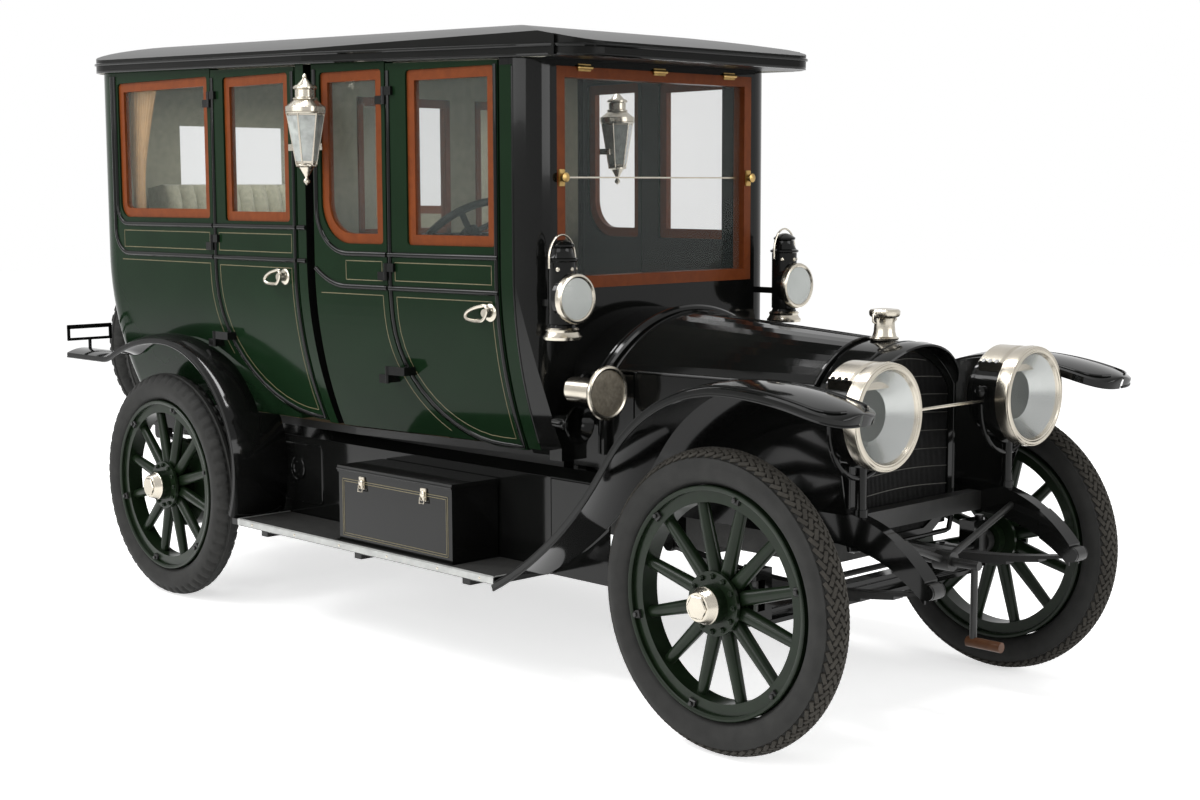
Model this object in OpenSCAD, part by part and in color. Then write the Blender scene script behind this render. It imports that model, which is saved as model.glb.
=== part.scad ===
// Enclosed-drive limousine motor car with separate wings, running boards and carriage lamps.
// Millimetres. +X is forward, +Y is the car's left, +Z is up; the ground is z = 0.
// Lengthwise sizes are measured from the rear axle and moved to the middle of the car by car().

/* [Chassis] */
// distance between the axles
wheelbase = 3048; // [2800:1:3300]
// distance between the wheel centre planes
track = 1422; // [1350:1:1480]
// half distance between the frame rails' centre lines
rail_y = 380; // [340:1:400]
// width of a frame rail
rail_w = 46; // [40:1:60]
// top of the frame rails
rail_top = 712; // [680:1:718]
// depth of a frame rail
rail_h = 100; // [80:1:120]
// front spring eye's distance ahead of the rear axle
horn_x = 3556; // [3500:1:3600]
// front spring eye's height
horn_z = 515; // [490:1:540]

/* [Wheels] */
// outside diameter of a tyre
tyre_d = 914; // [880:1:930]
// width of a tyre
tyre_w = 116; // [100:1:120]
// radius of the rim's seat under the tyre
rim_r = 347; // [335:1:350]
// inside radius of the wooden felloe
felloe_in = 297; // [270:1:300]
// number of spokes in a wheel
spokes = 12; // [10:1:14]
// radius of a spoke at the hub
spoke_r = 21; // [16:1:26]
// outer face of the hub cap from the centre plane
hubcap_out = 112; // [90:1:120]
// swing of a steered wheel to each side, in degrees
steer_lock = 30; // [20:1:35]

/* [Body] */
// half width of the rear compartment at the belt
body_w = 700; // [660:1:740]
// back of the body behind the rear axle
body_back = 620; // [560:1:680]
// plan radius of the rear corners
corner_r = 205; // [190:1:260]
// thickness of doors and walls
wall_t = 44; // [38:1:50]
// height where the sides begin to turn under
turn_z = 1390; // [1350:1:1430]
// radius of the turn under
turn_r = 1500; // [1400:10:1700]
// bottom edge of the body panels
body_bot = 782; // [770:1:800]
// coupe pillar's front edge, where the front part begins to narrow
taper_x = 1000; // [980:1:1040]
// angle by which each front side narrows, in degrees
taper_a = 5.4; // [4:0.1:7]
// front face of the windscreen frame ahead of the rear axle
front_x = 2100; // [2080:1:2120]
// gap round every door
door_gap = 6; // [5:0.5:8]

/* [Roof] */
// underside of the roof rail at the rear axle
roof_z = 2136; // [2120:1:2150]
// fall of the roof towards the front, in degrees
roof_fall = 1.35; // [1:0.05:1.8]
// rise of the roof's crown above its rail underside
roof_rise = 150; // [130:1:170]
// overhang of the roof beyond the sides
roof_over = 26; // [15:1:40]
// front edge of the roof's peak
peak_x = 2330; // [2290:1:2380]

/* [Fits] */
// gap between pieces seated against each other
seat_gap = 0.3; // [0.2:0.05:0.5]
// radial running clearance of a shaft in its bore
run_gap = 0.05; // [0.02:0.01:0.1]

/* [Hidden] */
$fn = 72;
tyre_r = tyre_d / 2;
hub_y = track / 2;
spare_x = [-790, -922];
spare_z = 960;
eye_r = 24;
spring_w = 46;
x_rear_end = spare_x[1] - tyre_w / 2 - 12;
x_front_end = horn_x + eye_r;
x_mid = (x_rear_end + x_front_end) / 2;
king_y = hub_y - 116;
screen_w = body_w - tan(taper_a) * (front_x - taper_x) - 112;
board_y = hub_y + 75;
apron_y = hub_y - 171;
big = 6000;

// windows: [lower rear x, lower z, front x, upper z, lower rear corner radius, other corner radius]
win_quarter = [-362, 1548, 322, 2098, 60, 14];
win_rear_door = [434, 1540, 868, 2088, 14, 14];
win_front_side = [62, 1466, 388, 2078, 150, 14];
win_front_door = [512, 1466, 934, 2068, 14, 14];
// doors: [hinge x, front x, bottom z, swept corner radius]; the front ones along the narrowing side
door_rear = [350, 912, 790, 520];
door_front = [412, 952, 768, 440];
sash_w = 36;
sash_t = 24;
sash_in = 8;
glass_t = 5;

// front wing path: [radius, turn in degrees] or [length, 0]; a positive turn bends it upwards
wing_front_start = [2112, 392, 27];
wing_front = [[1400, 27], [62, 0], [600, -54], [1300, -18]];
wing_rear_start = [596, 396.3, 66];
wing_rear = [[450, 54], [560, 60], [950, 25], [150, -25], [298, 0]];
wing_t = 4;

function roof_bot(x) = roof_z - tan(roof_fall) * x;
function side_w(x) = x < taper_x ? body_w : body_w - tan(taper_a) * (x - taper_x);
function inset(z) = z > turn_z ? 0 : turn_r - sqrt(turn_r * turn_r - pow(turn_z - z, 2));

module car() {
  translate([-x_mid, 0, 0]) children();
}

module both() {
  children();
  mirror([0, 1, 0]) children();
}

// section of a side wall: x is outwards from the plane w = 0, y is up
module under(d) {
  translate([-900 - d, turn_z]) square([900, 900]);
  intersection() {
    translate([-turn_r, turn_z]) circle(turn_r - d, $fn = 256);
    translate([-900, body_bot - 60]) square([900, turn_z - body_bot + 60]);
  }
}

module wall_section(z0, d = 0, t = wall_t) {
  intersection() {
    difference() {
      under(d);
      under(d + t);
    }
    translate([-800, z0]) square([900, 2400 - z0]);
  }
}

// places a section so that it runs forwards along the right side
module along_side(x0, x1, w) {
  translate([x0, -w, 0]) rotate([90, 0, 90]) mirror([1, 0, 0]) linear_extrude(x1 - x0) children();
}

module front_side_frame() {
  translate([taper_x, -body_w, 0]) rotate([0, 0, taper_a]) children();
}

module below_roof(gap = 0) {
  intersection() {
    children();
    translate([0, 0, roof_z - gap]) rotate([0, roof_fall, 0]) translate([-big / 2, -big / 2, -big]) cube([big, big, big]);
  }
}

// rounded outline of a window or sash, grown by g
module window_shape(w, g = 0) {
  x0 = w[0] - g;
  z0 = w[1] - g;
  x1 = w[2] + g;
  z1 = w[3] + g;
  r0 = max(w[4] + g, 0.5);
  r1 = max(w[5] + g, 0.5);
  difference() {
    translate([x0, z0]) square([x1 - x0, z1 - z0]);
    translate([x0, z0]) difference() {
      translate([-1, -1]) square([r0 + 1, r0 + 1]);
      translate([r0, r0]) circle(r0);
    }
    translate([x1, z0]) difference() {
      translate([-r1, -1]) square([r1 + 1, r1 + 1]);
      translate([-r1, r1]) circle(r1);
    }
    translate([x0, z1]) difference() {
      translate([-1, -r1]) square([r1 + 1, r1 + 1]);
      translate([r1, -r1]) circle(r1);
    }
    translate([x1, z1]) difference() {
      translate([-r1, -r1]) square([r1 + 1, r1 + 1]);
      translate([-r1, -r1]) circle(r1);
    }
  }
}

// door outline grown by g, with its swept lower rear corner
module door_shape(d, g = 0) {
  r = d[3] + g;
  difference() {
    translate([d[0] - g, d[2] - g]) square([d[1] - d[0] + 2 * g, 1500]);
    translate([d[0] - g, d[2] - g]) difference() {
      translate([-1, -1]) square([r + 1, r + 1]);
      translate([r, r]) circle(r);
    }
  }
}

// turns an outline in x and z into a prism across the right side wall
module through_side(y0 = -200, y1 = 200) {
  translate([0, y1, 0]) rotate([90, 0, 0]) linear_extrude(y1 - y0) children();
}

module sash(w, g = 0) {
  translate([0, sash_in, 0]) through_side(0, sash_t) difference() {
    window_shape(w, -seat_gap);
    window_shape(w, -sash_w);
  }
}

module pane(w) {
  translate([0, sash_in + sash_t / 2, 0]) through_side(-glass_t / 2, glass_t / 2) window_shape(w, -sash_w - seat_gap);
}

module rear_side_wall(x0, x1) {
  along_side(x0, x1, body_w) wall_section(body_bot);
}

module front_side_wall(x0, x1) {
  along_side(x0, x1, 0) wall_section(body_bot - 22);
}

// road wheels
module wheel_parts(drum) {
  rotate([90, 0, 0]) {
    difference() {
      union() {
        cylinder(r = 58, h = 150, center = true);
        translate([0, 0, 30]) cylinder(r = 96, h = 12);
        translate([0, 0, -42]) cylinder(r = 96, h = 12);
        translate([0, 0, 74]) cylinder(r1 = 52, r2 = 44, h = hubcap_out - 82);
        translate([0, 0, hubcap_out - 9]) cylinder(r = 34, h = 9);
        if (drum) translate([0, 0, -100]) cylinder(r = 178, h = 56);
      }
      translate([0, 0, -101]) cylinder(r = 22 + run_gap, h = 180);
      if (drum) translate([0, 0, -101]) cylinder(r = 168, h = 49);
    }
    difference() {
      cylinder(r = 333, h = 64, center = true);
      cylinder(r = felloe_in, h = 70, center = true);
    }
    difference() {
      cylinder(r = rim_r - seat_gap, h = 84, center = true);
      cylinder(r = 333 - 1, h = 90, center = true);
    }
    for (i = [0 : spokes - 1]) rotate([0, 0, (i + 0.5) * 360 / spokes]) rotate([0, 90, 0])
      translate([0, 0, 50]) cylinder(r1 = spoke_r + 3, r2 = spoke_r - 3, h = felloe_in - 46);
  }
}

module tyre_solid() {
  rotate([90, 0, 0]) rotate_extrude() difference() {
    translate([tyre_r - tyre_w / 2, 0]) circle(tyre_w / 2);
    translate([0, -tyre_w]) square([rim_r, 2 * tyre_w]);
  }
}

module front_hub(s) {
  translate([wheelbase, s * hub_y, tyre_r]) if (s < 0) children(); else mirror([0, 1, 0]) children();
}

module rear_hub(s) {
  translate([0, s * hub_y, tyre_r]) if (s < 0) children(); else mirror([0, 1, 0]) children();
}

module wheel_fr() color("darkgreen") front_hub(-1) wheel_parts(false);
module wheel_fl() color("darkgreen") front_hub(1) wheel_parts(false);
module wheel_rr() color("darkgreen") rear_hub(-1) wheel_parts(true);
module wheel_rl() color("darkgreen") rear_hub(1) wheel_parts(true);
module tyre_fr() color("dimgray") front_hub(-1) tyre_solid();
module tyre_fl() color("dimgray") front_hub(1) tyre_solid();
module tyre_rr() color("dimgray") rear_hub(-1) tyre_solid();
module tyre_rl() color("dimgray") rear_hub(1) tyre_solid();

// steering and axles
arm_back = 150;
arm_in = 34;
fork_h = 92;

module knuckle_solid() {
  translate([wheelbase, -king_y, tyre_r]) {
    cylinder(r = 30, h = fork_h, center = true);
    translate([0, 0, -fork_h / 2 - 46]) cylinder(r = 15, h = fork_h + 92);
    rotate([90, 0, 0]) cylinder(r = 22, h = king_offset() + 60);
    rotate([90, 0, 0]) cylinder(r = 42, h = 34);
    translate([-arm_back, 0, -fork_h / 2]) difference() {
      union() {
        cylinder(r = 22, h = 20);
        translate([0, -14, 0]) cube([arm_back, 28, 20]);
      }
      translate([0, 0, -1]) cylinder(r = 10 + run_gap, h = 22);
    }
  }
}

function king_offset() = hub_y - king_y;

module knuckle_r() color("black") knuckle_solid();
module knuckle_l() color("black") mirror([0, 1, 0]) knuckle_solid();

module tie_rod() color("black") {
  translate([wheelbase - arm_back, 0, tyre_r - fork_h / 2]) {
    for (s = [-1, 1]) translate([0, s * king_y, 0]) {
      translate([0, 0, -seat_gap - 22]) cylinder(r = 20, h = 22);
      translate([0, 0, -23]) cylinder(r = 10, h = 48);
    }
    translate([0, -king_y, -11 - seat_gap]) rotate([-90, 0, 0]) cylinder(r = 10, h = 2 * king_y);
  }
}

module front_axle() color("black") {
  translate([wheelbase, 0, 0]) {
    difference() {
      translate([-26, -king_y + 60, 360]) cube([52, 2 * king_y - 120, 66]);
      for (s = [-1, 1]) translate([s * 40, 0, 393]) rotate([90, 0, 0]) scale(1) cylinder(r = 24, h = 2 * king_y, center = true);
    }
    both() translate([0, -king_y, tyre_r]) difference() {
      union() {
        for (z = [-fork_h / 2 - 34, fork_h / 2 + 1]) translate([0, 0, z]) cylinder(r = 30, h = 33);
        translate([-30, 40, -fork_h / 2 - 34]) cube([60, 32, fork_h + 68]);
        for (z = [-fork_h / 2 - 34, fork_h / 2 + 1]) translate([-30, 0, z]) cube([60, 60, 33]);
      }
      translate([0, 0, -150]) cylinder(r = 15 + run_gap, h = 300);
    }
  }
}

module rear_axle() color("black") {
  translate([0, 0, tyre_r]) {
    rotate([90, 0, 0]) cylinder(r = 46, h = 2 * (hub_y - 140), center = true);
    rotate([90, 0, 0]) cylinder(r = 22, h = 2 * (hub_y + 70), center = true);
    sphere(r = 132);
    both() translate([0, -hub_y + 150, 0]) rotate([90, 0, 0]) cylinder(r = 150, h = 12);
    both() translate([-60, -rail_y - 30, 0]) cube([120, 60, 46]);
  }
}

// a spring is a pack of arched leaves between two eyes
module leaf(x0, x1, z_eye, z_mid, t) {
  c = (x0 - x1) / 2;
  s = z_eye - z_mid;
  r = (c * c + s * s) / (2 * s);
  translate([(x0 + x1) / 2, z_mid + r]) difference() {
    circle(r + t, $fn = 256);
    circle(r, $fn = 256);
  }
}

module spring_solid(x0, x1, z_eye, z_mid, y, w) {
  // leaves: [how far short of each eye, thickness so far]
  for (l = [[0, 10], [120, 20], [240, 30], [360, 40]])
    translate([0, -y + w / 2, 0]) rotate([90, 0, 0]) linear_extrude(w) intersection() {
      leaf(x0, x1, z_eye, z_mid, l[1]);
      translate([x1 + l[0], z_mid - 60]) square([x0 - x1 - 2 * l[0], z_eye - z_mid + 60]);
    }
  for (x = [x0, x1]) translate([x, -y, z_eye]) rotate([90, 0, 0]) cylinder(r = eye_r, h = w, center = true);
}

module springs() color("black") both() {
  spring_solid(horn_x, 2540, horn_z, 466.3, rail_y, spring_w);
  spring_solid(620, -620, 580, 543.3, rail_y, spring_w);
}

// frame rails, each with its curved front horn and the hangers of its springs
horn_top = [3200, 259, 453];
horn_low = [3200, 81, 531];
cheek = 31;

module horn_side() difference() {
  intersection() {
    translate([horn_top[0], horn_top[1]]) circle(horn_top[2], $fn = 256);
    translate([3199, horn_z - 40]) square([horn_x - 3205, 400]);
  }
  translate([horn_low[0], horn_low[1]]) circle(horn_low[2], $fn = 256);
}

// two cheeks that hold a spring eye under the rail
module hanger(x, z) {
  translate([x - 22, -cheek, z]) cube([44, 2 * cheek, rail_top - rail_h + 20 - z]);
  translate([x, cheek, z]) rotate([90, 0, 0]) cylinder(r = 22, h = 2 * cheek);
}

module spring_room(x, z, h) {
  translate([x, spring_w / 2 + seat_gap, z]) rotate([90, 0, 0]) cylinder(r = eye_r + seat_gap, h = spring_w + 2 * seat_gap);
  translate([x - 60, -spring_w / 2 - seat_gap, z - 60]) cube([120, spring_w + 2 * seat_gap, 60 + h]);
}

module rails() color("black") both() translate([0, -rail_y, 0]) difference() {
  union() {
    translate([-700, -rail_w / 2, rail_top - rail_h]) cube([3900, rail_w, rail_h]);
    translate([0, rail_w / 2, 0]) rotate([90, 0, 0]) linear_extrude(rail_w) horn_side();
    translate([0, cheek, 0]) rotate([90, 0, 0]) linear_extrude(2 * cheek) intersection() {
      horn_side();
      translate([3440, 0]) square([300, 1000]);
    }
    translate([horn_x, cheek, horn_z]) rotate([90, 0, 0]) cylinder(r = eye_r - 1, h = 2 * cheek);
    translate([0, 0, rail_top - 1]) linear_extrude(hood_bot - seat_gap - rail_top + 1) polygon([
      [hood_x0, rail_y - skirt_y + seat_gap], [hood_x1 + 3, rail_y - skirt_y + seat_gap], [hood_x1 + 3, rail_y - 262], [hood_x0, 0]]);
    hanger(2540, horn_z);
    for (x = [-620, 620]) hanger(x, 580);
  }
  spring_room(horn_x, horn_z, 0);
  spring_room(2540, horn_z, 14);
  for (x = [-620, 620]) spring_room(x, 580, 14);
}

// cross members: [x, height above the ground, depth]
cross = [[3190, 620, 60], [2380, 612, 70], [1500, 612, 70], [700, 612, 70], [-560, 612, 70]];

brace_rise = 20;

module crank_bracket() {
  difference() {
    union() {
      translate([3300, 0, 517]) rotate([0, 90, 0]) cylinder(r = 30, h = 60);
      for (s = [-1, 1]) translate([3330, 0, 517]) rotate([-s * (90 - brace_rise), 0, 0]) cylinder(r = 11, h = 420);
    }
    translate([3200, 0, 517]) rotate([0, 90, 0]) cylinder(r = 14 + run_gap, h = 300);
    both() translate([3000, -rail_y - 100, 400]) cube([600, 100 + rail_w / 2 + seat_gap, 400]);
  }
}

module tyre_carrier() {
  translate([spare_x[1] - tyre_w / 2 - 12, 0, spare_z]) rotate([0, 90, 0]) difference() {
    cylinder(r = rim_r - seat_gap, h = 270);
    translate([0, 0, -1]) cylinder(r = rim_r - 9, h = 272);
  }
  both() translate([-960, -170, 640]) cube([400, 40, 42]);
}

module cross_members() color("black") {
  crank_bracket();
  tyre_carrier();
  for (c = cross) translate([c[0] - 25, -rail_y + rail_w / 2 + seat_gap, c[1]])
    cube([50, 2 * rail_y - rail_w - 2 * seat_gap, c[2]]);
}

module power_unit() color("gray") {
  translate([2480, -150, 470]) cube([500, 300, 600]);
  translate([1860, -150, 440]) cube([640, 300, 165]);
  for (x = [2500, 2900]) translate([x, -rail_y + rail_w / 2 + seat_gap, 640]) cube([60, 2 * (rail_y - rail_w / 2 - seat_gap), 36]);
  difference() {
    translate([100, 0, tyre_r + 6]) rotate([0, 90 - 2.2, 0]) cylinder(r = 40, h = 1780);
    translate([0, 0, tyre_r]) sphere(r = 132 + seat_gap);
  }
}

// radiator
module radiator_outline(g) {
  intersection() {
    translate([-275 + g, 548 + g]) square([550 - 2 * g, 700]);
    translate([0, 855]) circle(330 - g, $fn = 256);
  }
}

module along_x(x0, x1) {
  translate([x0, 0, 0]) rotate([90, 0, 90]) linear_extrude(x1 - x0) children();
}

module radiator_shell() color("black") difference() {
  union() {
    along_x(3040, 3165) radiator_outline(0);
    translate([3080, -rail_y - 20, rail_top + seat_gap]) cube([50, 2 * rail_y + 40, 14]);
  }
  along_x(3000, 3200) radiator_outline(34);
}

module radiator_core() color("darkslategray") along_x(3062, 3150) radiator_outline(34 + seat_gap);

module radiator_cap() color("silver") translate([3085, 0, 1180]) {
  difference() {
    cylinder(r = 30, h = 50);
    translate([-100, 0, 855 - 1180]) rotate([0, 90, 0]) cylinder(r = 330 + seat_gap, h = 200, $fn = 256);
  }
  translate([0, 0, 46]) cylinder(r = 44, h = 26);
  translate([0, 0, 66]) cylinder(r1 = 40, r2 = 20, h = 22);
  translate([0, 0, 84]) sphere(r = 13);
}

module starting_crank() color("black") {
  translate([3215, 0, 517]) rotate([0, 90, 0]) cylinder(r = 14, h = 240);
  translate([3438, 0, 517 - 238]) cylinder(r = 11, h = 238);
  translate([3418, 0, 517 - 238]) rotate([0, 90, 0]) cylinder(r = 16, h = 122);
}

// bonnet and scuttle
hood_x0 = 2272;
hood_x1 = 3033;
hood_bot = 730;
hood_hinge_z = [1238, 1190];
// cheeks of the cowl below the bonnet's shoulder, beside the horn: front x and top z
cowl_cheek = [2356, 1050];
hinge_half = 7;

// outline of the bonnet at either end: half width, top height, shoulder height
module hood_outline(w, top, shoulder, g) {
  r = (w * w + pow(top - shoulder, 2)) / (2 * (top - shoulder));
  intersection() {
    translate([-w + g, hood_bot]) square([2 * w - 2 * g, 700]);
    translate([0, top - r]) circle(r - g);
  }
}

hood_taper = (398 - 278) / (hood_x1 - hood_x0);

module hood_volume(g) {
  hull() {
    along_x(hood_x0, hood_x0 + 0.1) hood_outline(398, 1238, 1056, g);
    along_x(hood_x1 - 0.1, hood_x1) hood_outline(278, 1190, 1052, g);
  }
}

module hood_half() difference() {
  intersection() {
    difference() {
      hood_volume(0);
      hood_volume(9);
    }
    translate([2000, -900, 0]) cube([1500, 900 - hinge_half, 2000]);
  }
  translate([2000, -900, 0]) cube([cowl_cheek[0] + door_gap - 2000, 900, cowl_cheek[1] + door_gap]);
}

module hood_r() color("black") hood_half();
module hood_l() color("black") mirror([0, 1, 0]) hood_half();

module cowl() color("black") {
  translate([hood_x0 - 20, 0, hood_hinge_z[0]]) rotate([0, 90 + atan((hood_hinge_z[0] - hood_hinge_z[1]) / (hood_x1 - hood_x0)), 0])
    cylinder(r = hinge_half - 0.6, h = 788);
  translate([front_x + seat_gap, -rail_y - 15, rail_top + seat_gap]) cube([40, 2 * rail_y + 30, 40]);
  difference() {
    along_x(front_x + seat_gap, hood_x0 - 6) hood_outline(412, 1245, 1060, 0);
    along_x(front_x - 10, hood_x0 - 26) hood_outline(412, 1245, 1060, 14);
    translate([2000, -220, 700]) cube([400, 440, 130]);
  }
  both() translate([0, 0, hood_bot]) linear_extrude(cowl_cheek[1] - hood_bot) polygon([
    [hood_x0 - 16, -398], [hood_x0, -398], [cowl_cheek[0], hood_taper * (cowl_cheek[0] - hood_x0) - 398],
    [cowl_cheek[0], hood_taper * (cowl_cheek[0] - hood_x0) - 389], [hood_x0 - 16, -389]]);
}

// body shell
// door hinges: heights of the rear door's and the front door's
hinge_z = [[2008, 1455, 1075], [1985, 1370, 1005]];
hinge_out = 9;
pin_r = 4;
barrel_r = 8;
leaf_l = 40;
leaf_h = 30;

// distance of a door's swept edge from its straight one at height z
function swept(d, z) = z > d[2] + d[3] ? 0 : d[3] - sqrt(d[3] * d[3] - pow(d[2] + d[3] - z, 2));

// leaves with barrels on one side of the pins; way is 1 for the door's and -1 for the body's
module hinge_leaves(d, heights, way) {
  inner = door_gap / 2 + 2;
  for (z = heights) translate([d[0] - door_gap / 2, -hinge_out, z + (way > 0 ? seat_gap : -leaf_h - seat_gap)]) {
    reach = way > 0 ? swept(d, z) : 0;
    difference() {
      union() {
        cylinder(r = barrel_r, h = leaf_h);
        translate([way > 0 ? inner + reach : -leaf_l, -3, 0])
          cube([leaf_l - inner, hinge_out + inset(z - leaf_h) + 8, leaf_h]);
        translate([way > 0 ? 0 : -leaf_l / 2, -3, 0]) cube([leaf_l / 2 + reach, 6, leaf_h]);
      }
      if (way > 0) translate([0, 0, -1]) cylinder(r = pin_r + run_gap, h = leaf_h + 2);
    }
    if (way < 0) cylinder(r = pin_r, h = 2 * leaf_h);
  }
}

module rear_body() color("darkgreen") {
  both() translate([0, -body_w, 0]) hinge_leaves(door_rear, hinge_z[0], -1);
  below_roof(seat_gap) {
    difference() {
      union() {
        both() difference() {
          rear_side_wall(-body_back + corner_r, door_rear[0] + 0.75 * door_rear[3]);
          translate([0, -body_w, 0]) through_side() window_shape(win_quarter);
          translate([0, -body_w, 0]) through_side() door_shape(door_rear, door_gap);
        }
        both() translate([-body_back + corner_r, -body_w + corner_r, 0]) rotate([0, 0, 180]) rotate_extrude(angle = 90)
          translate([corner_r, 0]) wall_section(body_bot);
        translate([-body_back, body_w - corner_r, 0]) rotate([90, 0, 0]) linear_extrude(2 * (body_w - corner_r))
          mirror([1, 0, 0]) wall_section(body_bot);
      }
      translate([-body_back - 50, -280, 1600]) cube([200, 560, 340]);
    }
  }
}

groove_in = 38;

module centre_posts() color("darkgreen") below_roof(seat_gap) both() {
  front_side_frame() hinge_leaves(door_front, hinge_z[1], -1);
  difference() {
    union() {
      along_side(door_rear[1] + door_gap + 3, taper_x - 28, body_w) wall_section(body_bot);
      along_side(taper_x - 60, taper_x + 30, body_w - groove_in) wall_section(body_bot);
      front_side_frame() along_side(20, door_front[0] + 0.75 * door_front[3], 0) wall_section(body_bot);
    }
    front_side_frame() through_side() window_shape(win_front_side);
    front_side_frame() through_side() door_shape(door_front, door_gap);
  }
}

module front_post() {
  intersection() {
    front_side_frame() translate([door_front[1] + door_gap + 3, 0, 0]) rotate([0, 0, -taper_a]) translate([0, -40, 700]) cube([300, 240, 1500]);
    translate([front_x - 400, -900, 0]) cube([400, 900, 3000]);
    front_side_frame() along_side(0, 1400, 0) translate([0, body_bot - 22]) intersection() {
      translate([0, -body_bot + 22]) under(0);
      translate([-300, 0]) square([400, 1600]);
    }
    union() {
      translate([1000, -screen_w - 21, 0]) cube([1400, 75, 3000]);
      translate([1000, -900, 0]) cube([front_x - 1100, 954 - screen_w, 3000]);
      translate([front_x - 100, -screen_w - 21, 0]) cylinder(r = 100, h = 3000);
    }
  }
}

module front_frame() color("black") below_roof(seat_gap) {
  both() difference() {
    front_post();
    translate([1000, -screen_w - seat_gap, 1326 - seat_gap]) cube([2000, 300, 736 + 2 * seat_gap]);
  }
  translate([front_x - 60, 14 - screen_w, 745]) cube([60, 2 * screen_w - 28, 1326 - seat_gap - 745]);
  translate([front_x - 60, 14 - screen_w, 2062 + seat_gap]) cube([60, 2 * screen_w - 28, 200]);
}

module windscreen_frame() translate([front_x - 52, 0, 0]) {
  difference() {
    translate([0, -screen_w, 1326]) cube([52, 2 * screen_w, 736]);
    translate([-1, 36 - screen_w, 1366]) cube([60, 2 * screen_w - 72, 660]);
  }
}

module windscreen_glass() translate([front_x - 26, 0, 0]) {
  for (z = [1366 + seat_gap, 1698]) translate([-3, 36 - screen_w + seat_gap, z])
    cube([6, 2 * screen_w - 72 - 2 * seat_gap, 328 - seat_gap]);
}

module fixed_sashes() color("sienna") {
  windscreen_frame();
  both() {
    translate([0, -body_w, 0]) sash(win_quarter);
    front_side_frame() sash(win_front_side);
  }
}

module fixed_glass() color("lightblue", 0.4) {
  windscreen_glass();
  both() {
    translate([0, -body_w, 0]) pane(win_quarter);
    front_side_frame() pane(win_front_side);
  }
  translate([-body_back + 14, -280 + seat_gap, 1600 + seat_gap]) cube([6, 560 - 2 * seat_gap, 340 - 2 * seat_gap]);
}

module rear_door() {
  translate([0, -body_w, 0]) hinge_leaves(door_rear, hinge_z[0], 1);
  below_roof(door_gap + 1) difference() {
    intersection() {
      rear_side_wall(door_rear[0], door_rear[1]);
      translate([0, -body_w, 0]) through_side() door_shape(door_rear);
    }
    translate([0, -body_w, 0]) through_side() window_shape(win_rear_door);
  }
}

module front_door() {
  front_side_frame() hinge_leaves(door_front, hinge_z[1], 1);
  below_roof(door_gap + 1) front_side_frame() difference() {
    intersection() {
      front_side_wall(door_front[0], door_front[1]);
      through_side() door_shape(door_front);
    }
    through_side() window_shape(win_front_door);
  }
}

module door_rr() color("darkgreen") rear_door();
module door_rl() color("darkgreen") mirror([0, 1, 0]) rear_door();
module door_fr() color("darkgreen") front_door();
module door_fl() color("darkgreen") mirror([0, 1, 0]) front_door();
module sash_rr() color("sienna") translate([0, -body_w, 0]) sash(win_rear_door);
module sash_rl() color("sienna") mirror([0, 1, 0]) translate([0, -body_w, 0]) sash(win_rear_door);
module sash_fr() color("sienna") front_side_frame() sash(win_front_door);
module sash_fl() color("sienna") mirror([0, 1, 0]) front_side_frame() sash(win_front_door);
module glass_rr() color("lightblue", 0.4) translate([0, -body_w, 0]) pane(win_rear_door);
module glass_rl() color("lightblue", 0.4) mirror([0, 1, 0]) translate([0, -body_w, 0]) pane(win_rear_door);
module glass_fr() color("lightblue", 0.4) front_side_frame() pane(win_front_door);
module glass_fl() color("lightblue", 0.4) mirror([0, 1, 0]) front_side_frame() pane(win_front_door);

// roof
roof_back = body_back + 24;

module roof_plan(g) {
  w0 = body_w + roof_over - g;
  w1 = side_w(peak_x) + roof_over - g;
  x0 = -roof_back + g;
  x1 = peak_x - g;
  rb = corner_r + 10;
  rf = 130;
  difference() {
    polygon([[x0, -w0], [taper_x, -w0], [x1, -w1], [x1, w1], [taper_x, w0], [x0, w0]]);
    for (s = [-1, 1]) {
      translate([x0, s * w0]) difference() {
        translate([-1, s > 0 ? -rb : -1]) square([rb + 1, rb + 1]);
        translate([rb, -s * rb]) circle(rb);
      }
      translate([x1, s * w1]) difference() {
        translate([-rf * 0.9, s > 0 ? -rf * 0.9 : -10]) square([rf, rf * 0.9 + 10]);
        translate([-rf, -s * rf]) circle(rf);
      }
    }
  }
}

module crown(g, low) {
  edge = 52;
  w = body_w + roof_over;
  s = roof_rise - edge;
  r = (w * w + s * s) / (2 * s);
  intersection() {
    rotate([0, 90, 0]) translate([-(roof_rise - r), 0, -1500]) cylinder(r = r - g, h = 5000, $fn = 180);
    translate([-2000, -1500, low]) cube([6000, 3000, 1000]);
  }
}

module roof() color("black") translate([0, 0, roof_z]) rotate([0, roof_fall, 0]) difference() {
  intersection() {
    linear_extrude(400) roof_plan(0);
    crown(0, 0);
    translate([1300, 0, roof_rise - 5200]) rotate([90, 0, 0]) union() {
      cylinder(r = 5200, h = 3000, center = true, $fn = 256);
      translate([-4000, 0, -1500]) cube([4000, 5200, 3000]);
    }
  }
  intersection() {
    translate([0, 0, -1]) linear_extrude(400) polygon([[-540, -610], [taper_x, -610], [2040, -510], [2040, 510], [taper_x, 610], [-540, 610]]);
    crown(34, -1);
    translate([1300, 0, roof_rise - 34 - 5166]) rotate([90, 0, 0]) union() {
      cylinder(r = 5166, h = 3000, center = true, $fn = 256);
      translate([-4000, 0, -1500]) cube([4000, 5166, 3000]);
    }
  }
}

floor_top = 766;

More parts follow.
